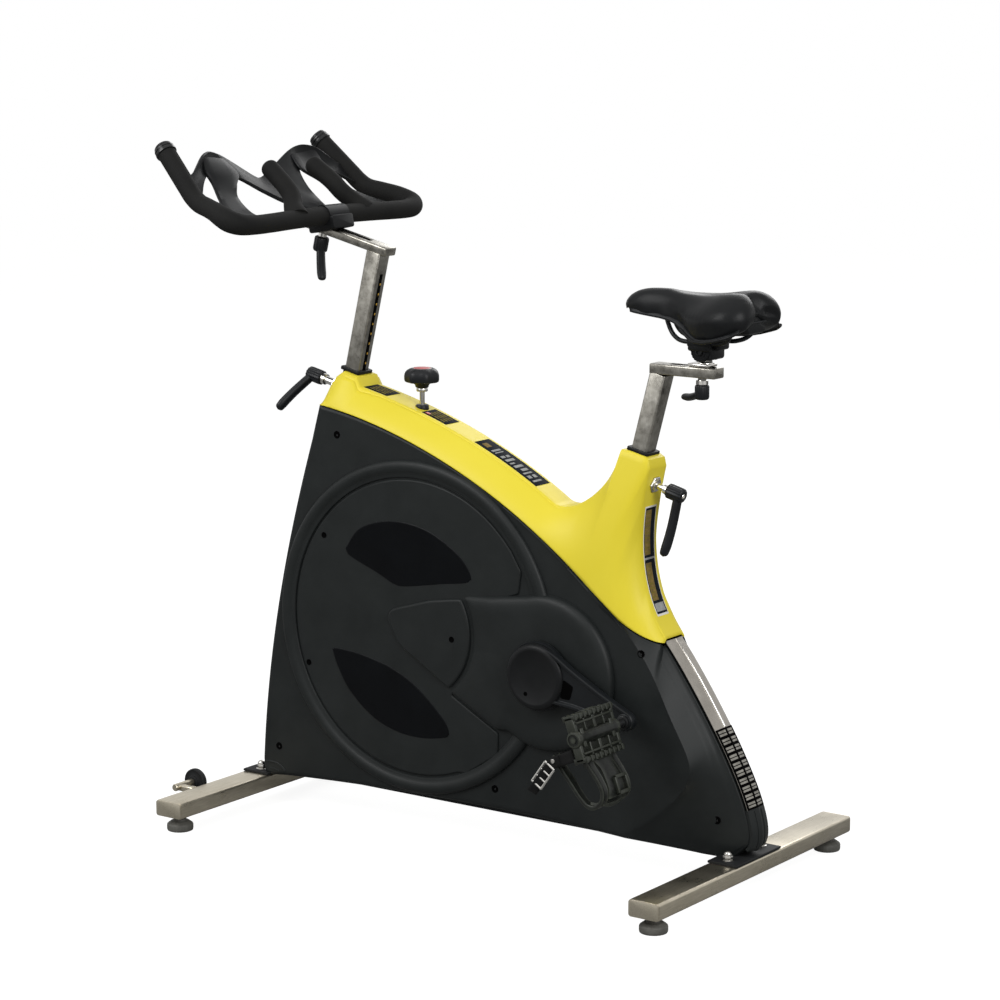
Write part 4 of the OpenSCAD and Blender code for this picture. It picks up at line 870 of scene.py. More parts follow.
# dark slots in the rails and the height scale on the front post
slots = [bar(railOrigin + 7.15 * up - 128 * railAhead, railOrigin + 7.15 * up - 18 * railAhead, 9, 0.9,
             (0, 1, 0), 0.4, 0.1),
         bar(leaning(frontFoot, 13.4, 6, 0, 14.05), leaning(frontFoot, 13.4, 166, 0, 14.05), 7.5, 0.8,
             (0, 1, 0), 0.3, 0.1)]
show("handlebar_post_slots", slots, "handlebar_post", "slotShadow", slot="black_plastic", hides=False)
place(makeObject("seat_rail_slot", *bar((338, 0, 784.1), (415, 0, 784.1), 9, 0.9, (0, 1, 0), 0.4, 0.1)),
      "seat_post", "slotShadow",
      slot="black_plastic", hides=False)
marks = [bar(leaning(frontFoot, 13.4, s - 1.7, 1, 14.5), leaning(frontFoot, 13.4, s + 1.7, 1, 14.5), 2.6, 0.5,
             (0, 1, 0), 0.2, 0.05)
         for s in np.arange(18, 160, 16.4)]
show("height_scale_marks", marks, "handlebar_post", "printedYellow", slot="yellow_cover", hides=False)

collars = []
for foot, lean in ((frontFoot, 13.4), (seatFoot, 15.0)):
    a, b = leaning(foot, lean, 0.4), leaning(foot, lean, 6.2)
    collars += [bar(a, b, 38, 37, (0, 1, 0), 2.5, 1.2), bar(leaning(foot, lean, -100), a, 30.8, 30.8,
            (0, 1, 0), 2, 0.2)]
show("post_collars", collars, "post_bushings", "satinMoulding")
print("posts made")

# clamp levers: chrome screw, ribbed hub and moulded handle
leverShape = dict(ribs=12, ribDepth=0.035, squash=0.72)


def lever(node, origin, axis, tip, stem, hub0, hub1, hubR, reach, bend, thick=7.6):
    # hub is a turned profile whose radius ripples as a cosine; the handle is a flattened tube that swells towards its end
    axis, origin = unit(axis), np.asarray(origin, float)
    hubLine = [(0, hub0), (hubR - 2, hub0), (hubR - 0.6, hub0 + 1), (hubR, hub0 + 3), (hubR, hub1 - 4),
               (hubR - 0.8, hub1 - 1.4),
               (hubR - 2.6, hub1), (5, hub1 + 0.2), (4.6, hub1 - 1.6), (0, hub1 - 1.6)]
    hub = turned(hubLine, origin, axis, 96, leverShape["ribs"], leverShape["ribDepth"])
    neck = origin + (hub1 - 9) * axis
    reach, bend = np.asarray(reach, float), np.asarray(bend, float)
    t = np.linspace(0, 1, 46)
    path = bezier(neck + 0.05 * reach, neck + reach / 3 + bend * 0.3, neck + 2 * reach / 3 + bend,
                  neck + reach, 46)
    r = np.interp(t, [0, 0.12, 0.5, 0.85, 0.95, 0.985, 1],
                  np.array([0.9, 0.94, 0.96, 1.0, 0.9, 0.62, 0.08]) * thick)
    handle = tube(path, r, 24, axis, leverShape["squash"])
    ridge = tube(path[3:-5] + unit(np.cross(reach, axis)) * 0 + r[3:-5, None] * 0.62 * axis, 1.3, 8, axis)
    place(makeObject(node + "_handle", *joined([hub, handle, ridge])), node, "glassFilledNylon")
    screw = [turned([(0, tip), (stem, tip), (stem, hub0 - 7), (stem + 2.6, hub0 - 6.6),
                     (stem + 2.8, hub0 - 1), (stem + 1.4, hub0 + 0.6), (0, hub0 + 0.6)],
                    origin, axis, 40),
             turned([(0, hub1 - 1.7), (3.9, hub1 - 1.7), (4.1, hub1 - 0.3), (3.6, hub1 + 0.4),
                     (2, hub1 + 0.4), (1.8, hub1 - 0.6), (0, hub1 - 0.6)],
                    origin, axis, 32)]
    place(makeObject(node + "_screw", *joined(screw)), node, "chromePlate", slot="chrome", hides=False)


railSeat = leaning(frontFoot, 13.4, frontUp + 14) - 114 * railAhead
lever("handlebar_slide_lever", railSeat, -up, -3.2, 4, 22, 46, 11.5, (24, -27, -52), (-6, 5, 8))
lever("seat_slide_lever", (392, 0, 784), (0, 0, -1), -5, 6.4, 27, 49, 10.5, (-48, 26, -11), (0, 3, -5))
frontScrew, seatScrew = leaning(frontFoot, 13.4, -32), leaning(seatFoot, 15, -40)
lever("handlebar_post_lever", frontScrew, (-math.cos(math.radians(13.4)), 0, math.sin(math.radians(13.4))),
      14.3, 6.2, 62, 92, 11.5,
      (-34, -50, -54), (-2, 0, 3), 9.4)
lever("seat_post_lever", seatScrew, (math.cos(math.radians(15)), 0, -math.sin(math.radians(15))), 14.3, 5, 58,
      86, 11.5,
      (-19, -13, -94), (4, 3, 2), 9.6)
seatAxis = np.array([math.cos(math.radians(15)), 0, -math.sin(math.radians(15))])
frontAxis = np.array([-math.cos(math.radians(13.4)), 0, math.sin(math.radians(13.4))])
recess = [turned([(12, 24), (17, 24), (17.4, 28.4), (16.8, 29.4), (15.4, 29.4), (14.6, 28.6), (12, 28.4),
                  (12, 24)], seatScrew, seatAxis, 64)]
show("clamp_recess_ring", recess, "main_frame", "slotShadow", slot="black_plastic", hides=False)
nuts = []
for where, axis, h0 in ((seatScrew, seatAxis, 27.5), (frontScrew, frontAxis, 27)):
    nuts += [turned([(5.4, h0), (15.8, h0), (16.2, h0 + 0.6), (16.2, h0 + 1.8), (15.6, h0 + 2.4),
                     (5.4, h0 + 2.4), (5.4, h0)], where, axis, 48),
             turned([(5.4, h0 + 2.2), (13, h0 + 2.2), (13.8, h0 + 3), (13.8, h0 + 7.4), (12.4, h0 + 8.6),
                     (5.4, h0 + 8.6), (5.4, h0 + 2.2)], where, axis, 6),
             turned([(5.4, h0 + 8.4), (9.4, h0 + 8.4), (9.6, h0 + 9), (9.2, h0 + 11), (7.6, h0 + 11.6),
                     (5.4, h0 + 11.6), (5.4, h0 + 8.4)], where, axis, 40)]
show("clamp_boss_nuts", nuts, "main_frame", "zincPlate", slot="chrome", hides=False)
print("levers made")

# resistance knob
knobX = -124.0
knobLine = [(0, 711.5), (9.4, 711.5), (10.2, 712.6), (11, 715.5), (13.4, 718.4), (18.4, 719.6), (24, 720),
            (26.4, 721.4), (27.3, 724.4), (27.4, 729),
            (27, 733), (25.6, 736.4), (23, 739.2), (19.8, 741.2), (17, 742.2), (15.6, 742.2), (15, 741.6),
            (0, 741.6)]
knob = turned(knobLine, (knobX, 0, 0), (0, 0, 1), 168, 7, 0.035)
place(makeObject("resistance_knob_grip", *knob), "resistance_knob", "glassFilledNylon")
place(makeObject("resistance_knob_disc", *turned([(0, 741.2), (14.2, 741.2), (14.2, 742.2), (13.4, 742.7),
        (0, 743)], (knobX, 0, 0), (0, 0, 1), 72)),
      "resistance_knob", "redInlay", slot="black_plastic", hides=False)
place(makeObject("resistance_knob_ring", *turned([(14.3, 741.2), (15.2, 741.2), (15.3, 742.3), (15, 742.6),
        (14.5, 742.6), (14.3, 742.2)],
                                                 (knobX, 0, 0), (0, 0, 1), 72)), "resistance_knob",
                                                 "groundSteel", slot="chrome", hides=False)
rod = [turned([(0, 572), (10, 572), (10, 576), (4, 576.4), (4, 705), (8.4, 705.4), (9, 706.4), (9, 710),
               (8.2, 711.2), (0, 711.2)],
              (knobX, 0, 0), (0, 0, 1), 48)]
show("brake_rod_stem", rod, "brake_rod", "zincPlate")
sleeve = turned([(4.4, 577), (8, 577), (8, 676), (4.4, 676)], (knobX, 0, 0), (0, 0, 1), 40)
place(makeObject("brake_guide_sleeve", *sleeve), "brake_guide", "groundSteel")
baseRing = turned([(4.8, 676), (10.6, 676), (10.8, 678), (10.4, 683), (9.4, 684.4), (6, 684.8), (4.8, 684.4)],
                  (knobX, 0, 0), (0, 0, 1), 48)
place(makeObject("brake_guide_base_ring", *baseRing), "brake_guide", "glassFilledNylon", slot="black_plastic",
      hides=False)
print("knob made")

# saddle: padded cover swollen by a short cloth run, hard base, rails, clamp and slider
saddleShape = dict(noseX=250.5, length=250.5, shrink=2.2, voxel=4.5, cap=5.0, pressure=4.0, frames=20,
                   notch=17.0, groove=5.5)
saddleTable = np.array([
    # share of length, half width, top, widest height, skirt bottom
    (0.00, 5, 873, 868, 862), (0.025, 12, 882, 868, 859.5), (0.06, 17.5, 889, 868.5, 858),
    (0.11, 21, 894.5, 869, 856),
    (0.17, 23, 897.5, 869.5, 854.5), (0.24, 24.5, 897, 869, 853), (0.32, 27, 894.5, 868, 851.5),
    (0.40, 31.5, 892.5, 866, 849),
    (0.46, 37, 891.5, 863, 845), (0.52, 44, 891, 859, 838), (0.58, 53, 890.5, 856, 830),
    (0.64, 61, 891, 854, 825.5), (0.72, 70, 892.5, 854, 826),
    (0.80, 75.5, 894.5, 855, 830), (0.87, 76.5, 896, 856.5, 835), (0.92, 74.5, 895, 858, 839),
    (0.96, 70, 890.5, 859, 843),
    (0.985, 64, 884, 860, 846), (1.00, 57, 877, 860, 850)])


def saddleSheet(stations=64, around=72, shrink=0.0):
    # each station is a closed loop: a rounded crown, sides that flare down to the skirt, and a hollow underside;
    # a groove runs down the middle of the crown, and the tail is cut back to a notch between two lobes
    u = 0.5 - 0.5 * np.cos(np.pi * np.linspace(0, 1, stations))
    w, top, mid, low = (np.interp(u, saddleTable[:, 0], saddleTable[:, k])[:, None] for k in (1, 2, 3, 4))
    kernel = np.array([1, 2, 3, 2, 1]) / 9
    soft = lambda v: np.convolve(np.pad(v[:, 0], 2, mode="edge"), kernel, "valid")[:, None]
    w, top, mid, low = soft(w), soft(top), soft(mid), soft(low)
    w, top, low = w - shrink, top - shrink, low + shrink * 0.5
    a = np.linspace(0, 2 * np.pi, around, endpoint=False)[None, :]
    c, s = np.cos(a), np.sin(a)
    upper = s >= 0
    y = w * np.sign(c) * np.abs(c) ** np.where(upper, 0.82, 0.42)
    z = np.where(upper, mid + (top - mid) * np.abs(s) ** 0.86,
                 mid - (mid - low) * np.minimum(1, 1.25 * np.abs(s) ** 0.7))
    under = (~upper) & (np.abs(c) < 0.62)
    z = np.where(under, low + 11 * (1 - np.abs(c) / 0.62) ** 0.6, z)
    flare = np.clip((mid - z) / np.maximum(mid - low, 1), 0, 1)
    y = y * (1 - 0.06 * np.sin(np.pi * flare))
    groove = saddleShape["groove"] * ease((u[:, None] - 0.3) / 0.35) * np.exp(-(y / 11) ** 2) * (s > 0.2)
    lobes = 3.5 * ease((u[:, None] - 0.6) / 0.25) * np.exp(-((np.abs(y) - 40) / 20) ** 2) * (s > 0.2)
    x = saddleShape["noseX"] + shrink + u[:, None] * (saddleShape["length"] - 2 * shrink) + 0 * y
    tail = ease((u[:, None] - 0.78) / 0.22)
    x = x - saddleShape["notch"] * tail * np.exp(-(y / 13) ** 2) - 10 * tail * np.clip((np.abs(y) - 40) / 36,
            0, 1) ** 2
    points = np.stack([x, y, z - groove + lobes], -1)
    faces = gridFaces(stations, around, False, True).tolist()
    return points.reshape(-1, 3), faces + [list(range(around))[::-1],
                                           [(stations - 1) * around + i for i in range(around)]]


def evaluatedMesh(obj):
    return bpy.data.meshes.new_from_object(obj.evaluated_get(bpy.context.evaluated_depsgraph_get()))


def swap(obj, mesh):
    old = obj.data
    obj.modifiers.clear()
    obj.data = mesh
    bpy.data.meshes.remove(old)


def padded(obj, spec):
    # voxel remesh, then cloth under pressure without gravity; no point moves further than the cap
    m = obj.modifiers.new("remesh", "REMESH")
    m.mode, m.voxel_size = "VOXEL", spec["voxel"] * mm
    swap(obj, evaluatedMesh(obj))
    count = len(obj.data.vertices)
    before = np.empty(count * 3)
    obj.data.vertices.foreach_get("co", before)
    m = obj.modifiers.new("cloth", "CLOTH")
    m.settings.quality = 5
    m.settings.use_pressure = True
    m.settings.uniform_pressure_force = spec["pressure"]
    m.settings.effector_weights.gravity = 0
    m.point_cache.frame_start, m.point_cache.frame_end = 1, spec["frames"]
    for frameNumber in range(1, spec["frames"] + 1):
        bpy.context.scene.frame_set(frameNumber)
    swap(obj, evaluatedMesh(obj))
    bpy.context.scene.frame_set(1)
    after = np.empty(count * 3)
    obj.data.vertices.foreach_get("co", after)
    before, after = before.reshape(-1, 3), after.reshape(-1, 3)
    move = after - before
    length = np.linalg.norm(move, axis=1, keepdims=True)
    after = before + move * np.minimum(1, spec["cap"] * mm / np.maximum(length, 1e-9))
    obj.data.vertices.foreach_set("co", after.ravel())
    # three rounds of averaging take out the voxel steps
    edges = np.empty(len(obj.data.edges) * 2, int)
    obj.data.edges.foreach_get("vertices", edges)
    i, j = edges.reshape(-1, 2).T
    degree = np.bincount(np.r_[i, j], minlength=count)[:, None]
    for turn in range(4):
        total = np.stack([np.bincount(i, after[j, k], count) + np.bincount(j, after[i, k],
                count) for k in range(3)], -1)
        after = 0.45 * after + 0.55 * total / degree
    obj.data.vertices.foreach_set("co", after.ravel())
    obj.data.polygons.foreach_set("use_smooth", [True] * len(obj.data.polygons))
    obj.data.update()
    return obj


pad = makeObject("saddle_cover", *saddleSheet(shrink=saddleShape["shrink"]))
padded(pad, saddleShape)
pad.data.materials.clear()
place(smoothed(pad, 1), "saddle", "glossVinyl")
print("saddle cover made")

# base rim just under the skirt and the tail bridge between the lobes
u = np.linspace(0.5, 0.975, 90)
half, rim = np.interp(u, saddleTable[:, 0], saddleTable[:, 1]), np.interp(u, saddleTable[:, 0],
        saddleTable[:, 4])
rimPath = np.c_[saddleShape["noseX"] + u * saddleShape["length"] - 8 * np.clip((u - 0.9) / 0.1, 0, 1),
                half * 0.9, rim + 1.6]
rims = [tube(resampled(rimPath * (1, s, 1), 90), 2.4, 14) for s in (-1, 1)]
floorU = np.linspace(0.1, 0.96, 40)
floorHalf, floorLow = np.interp(floorU, saddleTable[:, 0], saddleTable[:, 1]) * 0.9, np.interp(floorU,
        saddleTable[:, 0], saddleTable[:, 4]) + 3
v = np.linspace(-1, 1, 25)
base = np.stack([np.broadcast_to((saddleShape["noseX"] + floorU * saddleShape["length"] - 6 * np.clip((floorU - 0.9) / 0.1, 0, 1))[:, None], (40, 25)),
                 floorHalf[:, None] * v, floorLow[:, None] + 12 * (1 - v ** 4)], -1)
pan = thickened(makeObject("saddle_pan", base.reshape(-1, 3), gridFaces(40, 25).tolist()), 2.5)
place(pan, "saddle", "glassFilledNylon", slot="black_plastic", hides=False)
bridge = bar((448, 0, 852), (484, 0, 856), 52, 34, (0, 1, 0), 8, 5)
place(makeObject("saddle_rim", *joined(rims + [bridge])), "saddle", "satinMoulding", slot="black_plastic",
      hides=False)

railRoute = [(333, 9.4, 860), (337, 9.8, 849), (342, 10.6, 838.5), (348.5, 12.6, 830.8), (358, 16.4, 825.4),
             (368, 19.6, 822.8), (380, 21, 822), (400, 21, 822),
             (426, 21, 822), (438, 23, 823.4), (450, 27.5, 828), (460, 32.5, 838), (469, 35.6, 850)]
rails = [tube(through(np.multiply(railRoute, (1, s, 1)), 110), 3.45, 20, (0, 1, 0)) for s in (-1, 1)]
show("saddle_rail_wires", rails, "saddle_rails", "satinBlackPaint")

# clamp: serrated round cheeks, a rounded block, two rail saddles and a cross bolt
cheek = [(0, 0), (13.4, 0), (15.4, 1), (16.2, 2.6), (16.2, 7), (15.2, 8.6), (12.4, 9.4), (12, 8.8),
         (10.4, 8.8), (10, 9.6), (6.8, 10), (6.4, 8.6), (0, 8.6)]
clampParts = [turned(cheek, (400, s * 12.6, 809), (0, s, 0), 120, 20, 0.02) for s in (-1, 1)]
clampParts += [bar((381, 0, 821), (420, 0, 821), 56, 11, (0, 1, 0), 3.5, 2.5),
               bar((384, 0, 829.5), (417, 0, 829.5), 50, 5, (0, 1, 0), 2, 2)]
clampParts += [bar((382, s * 21, 816), (419, s * 21, 816), 13, 14, (0, 1, 0), 4.5, 3) for s in (-1, 1)]
clampParts += [bar((410, -19, 806), (410, 19, 806), 18, 20, (1, 0, 0), 5, 2),
               bar((424, -14, 818), (424, 14, 818), 12, 14, (1, 0, 0), 4, 2)]
show("saddle_clamp_body", clampParts, "saddle_clamp", "satinMoulding")
boltHeads = [turned([(0, 8.2), (5.6, 8.2), (6, 9), (6, 12), (5.2, 13), (3.2, 13.2), (3, 11), (0, 11)],
                    (400, s * 12.6, 809), (0, s, 0), 40) for s in (-1, 1)]
show("saddle_clamp_bolt", boltHeads, "saddle_clamp", "blackOxideSteel", slot="screw_steel", hides=False)
sliderParts = [bar((374, 0, 786.9), (410, 0, 786.9), 27, 4.8, (0, 1, 0), 2, 1.2),
               turned([(0, 788), (11.6, 788), (11.8, 789), (11.4, 791), (10.4, 792), (10.4, 803), (0, 803)],
                      (397, 0, 0), (0, 0, 1), 48),
               tube([(400, -12, 809), (400, 12, 809)], 7.9, 40)]
show("seat_slider_block", sliderParts, "seat_slider", "chromePlate")
print("saddle parts made")

# cranks, caps and spindles
crankShape = dict(drop=math.radians(15.5), length=170.0, boss=47.0)
armEdge = [(0.9, 83.2), (0, 84), (0, 93.6), (0.5, 95), (1.6, 96), (4.6, 96), (5.6, 95.2), (6.6, 92.4),
           (7.4, 91.8)]
capLine = [(0, 89), (51, 89), (51.4, 90), (51.4, 92), (50.8, 94), (49.2, 96), (46.6, 97.4), (43.4, 98),
           (41.4, 97.8), (40.6, 97.3), (0, 97.3)]
bossLine = [(0, 76), (50, 76), (53, 77.4), (54, 80), (54, 86.6), (53.2, 88.8), (0, 88.8)]


def crankPoint(side):
    a = crankShape["drop"]
    return np.array([157 - side * 170 * math.cos(a), 300 + side * 170 * math.sin(a)])


def turnedAbout(points, centre, angle):
    # X and Z turned about a point on the Y axis, positive from +Z towards +X
    p = np.asarray(points, float).reshape(-1, 3)
    c, s = math.cos(angle), math.sin(angle)
    return np.c_[centre[0] + p[:, 0] * c + p[:, 2] * s, p[:, 1], centre[1] - p[:, 0] * s + p[:, 2] * c]


def crankArm(side):
    # outline: tangent lines between the root and the end circle; rim stands proud of the web
    end = arc((170, 0), 15, 80, -80, 30)
    root = [(0, -40), (-22, -42), (-42, -26), (-49, 0), (-42, 29), (-20, 47), (8, 51)]
    outline = softCorners(np.vstack([[(30, 47), (52, 40), (80, 33), (120, 24)], end,
                                     [(120, -15.5), (76, -20), (40, -27), (18, -34)], root]), 8, 3)
    arm = plaque(outline, armEdge, 1)
    pocket = plaque(softCorners([(49, 17), (69, 13.4), (69, -9), (52, -13)], 3.5, 4),
                    [(1, 90.6), (0, 91.2), (0, 92.4), (0.4, 92.7)], 1)
    tip = turned([(0, 90), (12.4, 90), (12.6, 95.6), (11.8, 96.6), (10.2, 97), (0, 97)], (170, 0, 0),
                 (0, 1, 0), 56)
    boss = turned(bossLine, (0, 0, 0), (0, 1, 0), 120)
    angle = crankShape["drop"] if side < 0 else math.pi + crankShape["drop"]
    move = lambda part: (turnedAbout(part[0], crankXZ, angle) * (1, side, 1), part[1])
    return [move(arm), move(tip), move(boss)], move(pocket)


for side, node in ((-1, "left_crank_arm"), (1, "right_crank_arm")):
    parts, pocket = crankArm(side)
    place(makeObject(node + "_forging", *joined(parts)), node, "satinBlackPaint")
    place(makeObject(node + "_pocket", *pocket), node, "slotShadow", slot="black_plastic", hides=False)
discs = [turned(capLine, (157, 0, 300), (0, side, 0), 140) for side in (-1, 1)]
show("crank_cap_discs", discs, "crank_caps", "satinMoulding")
holes = [turned([(0, 96.8), (3.1, 96.8), (3.4, 97.5), (0, 97.42)], (157 - 14 * 1, 0, 300 - 27), (0, side, 0),
                32) for side in (-1, 1)]
show("crank_cap_holes", holes, "crank_caps", "slotShadow", slot="black_plastic", hides=False)
spindles = []
for side in (-1, 1):
    end = crankPoint(side)
    spindles.append(turned([(0, 84), (6.9, 84), (6.9, 96.2), (10, 96.4), (10.3, 97.2), (10.3, 100), (9, 101),
                            (6.6, 101.6), (6, 104), (6, 224), (0, 224)],
                           (end[0], 0, end[1]), (0, side, 0), 48))
show("pedal_spindle_shafts", spindles, "pedal_spindles", "blackOxideSteel")

# pedals with cage, strap and buckle, drawn flat and turned to where they hang
pedalShape = dict(hang=math.radians(-110), y0=122.0, y1=230.0, half=36.0, rise=11.0, cages=(146.0, 206.0))


def onPedal(side, part):
    return turnedAbout(part[0] * (1, 1, 1), crankPoint(side), pedalShape["hang"]) * (1, side, 1), part[1]


def pedalBody():
    parts = [turned([(6.4, 122), (11, 122), (12.4, 123.4), (12.6, 130), (10.6, 134), (10.6, 216), (12.4, 220),
                     (12.6, 228), (11.4, 230), (9, 230.6),
                     (8.6, 229.4), (5, 229.4), (4.6, 231), (0, 231)], (0, 0, 0), (0, 1, 0), 64, 10, 0.012)]
    for s in (-1, 1):
        parts.append(bar((s * 32, 124, 0), (s * 32, 228, 0), 7, 21, (1, 0, 0), 2.4, 1.6))
        parts.append(bar((s * 23, 128, -5), (s * 23, 224, -5), 3, 10, (1, 0, 0), 1, 0.8))
        for y in np.arange(131, 226, 11.6):
            parts += [bar((s * 32, y - 2.6, t * 10), (s * 32, y + 2.6, t * 10), 9, 4.4, (1, 0, 0), 0.9,
                          0.7) for t in (-1, 1)]
    for y in (127.5, 152, 176, 200, 224.5):
        wide = 7 if y in (127.5, 176, 224.5) else 3.4
        parts += [bar((s * 9, y, 0), (s * 33, y, 0), wide, 15, (0, 1, 0), 1.6, 0.5) for s in (-1, 1)]
    # reflector frames front and rear
    for s in (-1, 1):
        parts += [bar((s * 36.4, 160, 0), (s * 36.4, 192, 0), 2.4, 13, (1, 0, 0), 1, 0.6),
                  bar((s * 37.6, 163, 0), (s * 37.6, 189, 0), 1, 9, (1, 0, 0), 0.4, 0.3)]
    # side wings carry the cage screws
    parts += [bar((-14, y, -6.4), (14, y, -6.4), 8, 5, (0, 1, 0), 1.4, 1) for y in (138, 214)]
    return parts


cageRoute = through([(-34, 0, 3), (-46, 0, 0), (-62, 0, -6), (-80, 0, -10), (-94, 0, -7), (-102, 0, 3),
                     (-104, 0, 14), (-98, 0, 24), (-84, 0, 32),
                     (-62, 0, 40), (-38, 0, 49), (-16, 0, 57)], 80)


def cageParts():
    # two moulded ribs, the bridge across their tops, a toe bar and a curved toe plate
    parts = [band(cageRoute + (0, y, 0), (0, 1, 0), np.interp(np.linspace(0, 1, 80), [0, 0.2, 0.6, 1],
            [16, 13, 13, 17]), 3.8, 0.7) for y in pedalShape["cages"]]
    toe = through([(-100, 148, 10), (-104, 162, 11), (-105, 176, 11.4), (-104, 190, 11), (-100, 204, 10)], 30)
    top = through([(-26, 149, 56), (-28, 162, 57.6), (-28.4, 176, 58), (-28, 190, 57.6), (-26, 203, 56)], 30)
    parts += [band(toe, (0.2, 0, 1), 22, 3.6, 0.6), band(top, (1, 0, 0.4), 12, 3.6, 0.6)]
    sole = through([(-33, 176, 0), (-48, 176, -4), (-66, 176, -9), (-84, 176, -11), (-97, 176, -8)], 30)
    parts.append(band(sole, (0, 1, 0), np.interp(np.linspace(0, 1, 30), [0, 0.3, 1], [52, 34, 44]), 3.2, 0.5))
    # square eye of the toe plate on its lower face
    eye = [(-70, 150), (-94, 150), (-94, 176), (-70, 176)]
    for (x0, y0), (x1, y1) in zip(eye, eye[1:] + eye[:1]):
        parts.append(bar((x0, y0, -14), (x1, y1, -14), 6, 5.6, (0, 0, 1), 1.4, 0.8))
    parts += [bar((-40, y - 8, 4), (-40, y + 8, 4), 9, 6, (1, 0, 0), 1.6, 1) for y in pedalShape["cages"]]
    return parts


strapRoute = through([(-22, 131, 12.6), (-22, 127.4, 24), (-23, 126.6, 38), (-24, 131, 50),
                      (-24.6, 146, 60.6), (-25, 176, 63.4), (-24.6, 206, 60.8),
                      (-24.4, 222, 52), (-24, 227.6, 40), (-23, 227.8, 26), (-22, 223, 12.6)], 110)
tailRoute = through([(-23, 229.4, 34), (-25, 230.6, 46), (-32, 232.4, 58), (-42, 234.4, 71), (-52, 236.6, 85),
                     (-58, 238, 93)], 40)


def buckleParts():
    # ladder of two long wires and four cross bars, with the roller's round rivet at the end
    foot, head = np.array([-27, 232.6, 52]), np.array([-49, 236.4, 82])
    run = unit(head - foot)
    side = unit(np.cross(run, (0, 1, 0)))
    parts = [tube(np.linspace(foot + s * 9.4 * side, head + s * 9.4 * side, 8), 1.8, 14,
                  (0, 1, 0)) for s in (-1, 1)]
    for t in (0.0, 0.34, 0.67, 1.0):
        at = foot + t * (head - foot)
        parts.append(tube(np.linspace(at - 10 * side, at + 10 * side, 6), 1.9 if t in (0.0, 1.0) else 1.6, 14,
                          (0, 1, 0)))
    parts.append(turned([(0, 0), (3, 0.2), (3.6, 1.4), (3.2, 3), (0, 3.8)], foot - 9 * run - (0, 2, 0),
                        (0, 1, 0), 24))
    return parts


for side, name in ((-1, "left"), (1, "right")):
    place(makeObject(name + "_pedal_casting", *onPedal(side, joined(pedalBody()))), name + "_pedal",
          "scuffAndHighlightNylon")
    place(makeObject(name + "_toe_cage_moulding", *onPedal(side, joined(cageParts()))), name + "_toe_cage",
          "scuffAndHighlightNylon")
    webbing = [band(strapRoute, (1, 0, 0), 18, 1.9), band(tailRoute, (0.8, 0, -0.6), 15.6, 1.8)]
    place(makeObject(name + "_strap_webbing", *onPedal(side, joined(webbing))), name + "_pedal_strap",
          "wovenNylon")
    place(makeObject(name + "_strap_buckle", *onPedal(side, joined(buckleParts()))), name + "_pedal_strap",
          "chromePlate", slot="chrome", hides=False)
print("cranks and pedals made")

# tail strip, its ribbed lower part and the black heel
tailShape = dict(half=22.0, ridge=2.6, ribs=10, ribTop=243.0, ribEnd=131.0, ribHalf=19.5)


def carried(line, section):
    # closed section of (across, outwards) pairs carried along a line in X and Z; "outwards" is square to the line
    line, section = np.asarray(line, float), np.asarray(section, float)
    t = unit(np.gradient(line, axis=0))
    p = line[:, None, :] + section[None, :, 1, None] * np.c_[-t[:, 1], t[:, 0]][:, None, :]
    points = np.stack([p[..., 0], np.broadcast_to(section[:, 0], p.shape[:2]), p[..., 1]], -1)
    n, m = len(line), len(section)
    return points, gridFaces(n, m, False, True).tolist() + [list(range(m))[::-1],
            [(n - 1) * m + i for i in range(m)]]


def onTail(z, n=40):
    # part of the tail line between two heights
    z = np.linspace(*z, n)
    return np.c_[np.interp(-z, -spineLine[:, 1], spineLine[:, 0]), z]


def roofSection(half, ridge, low=-2.4, bead=1.1):
    # shallow roof: two flat sides up to a small round bead in the middle, with rolled edges
    side = [(half, low), (half + 0.5, low + 1.2), (half + 0.2, -0.3), (half - 1.2, 0.25),
            (half * 0.5, ridge * 0.5), (bead + 0.5, ridge * 0.94),
            (bead, ridge + 0.15), (bead * 0.6, ridge + 0.55)]
    return side + [(0, ridge + 0.7)] + [(-y, h) for y, h in side[::-1]]


strip = carried(onTail((368.6, tailShape["ribEnd"] - 4), 70),
                roofSection(tailShape["half"], tailShape["ridge"]))
place(makeObject("tail_strip_fold", *strip), "rear_strip", "brushedStrip")
guard = carried(onTail((tailShape["ribTop"], tailShape["ribEnd"] - 2), 40),
                roofSection(tailShape["half"] + 0.3, tailShape["ridge"] + 0.3, -1.0, 1.6))
place(makeObject("tail_guard_ribs", *guard), "rear_guard", "slotShadow", hides=False)
pitch = (tailShape["ribTop"] - tailShape["ribEnd"]) / tailShape["ribs"]
rungs = []
for i in range(tailShape["ribs"]):
    for start, tall in ((0.26, 0.27), (0.65, 0.25)):
        z0 = tailShape["ribTop"] - (i + start) * pitch
        h0, h1 = 0.5, tailShape["ridge"] + 0.1
        for s in (-1, 1):
            wide = tailShape["ribHalf"] - (1.2 if s > 0 else 0)
            section = [(s * wide, h0 - 0.6), (s * wide, h0 + 0.6), (s * 2.6, h1 + 0.65), (s * 2.4, h0 - 0.2)]
            rungs.append(carried(onTail((z0, z0 - tall * pitch), 3), section))
show("tail_guard_rungs", rungs, "rear_strip", "brushedPost", hides=False)
bead = tube(np.insert(onTail((352, tailShape["ribTop"] + 1), 40), 1, 0, 1) + (2.7, 0, 1.7),
            np.interp(np.arange(40), [0, 14, 39], [0.5, 1.7, 1.8]), 12)
place(makeObject("tail_strip_bead", *bead), "rear_strip", "chromePlate", slot="chrome", hides=False)
heel = [carried(onTail((tailShape["ribEnd"] - 2, 66), 40), roofSection(23.2, 3.2, -5.5, 3.0))]
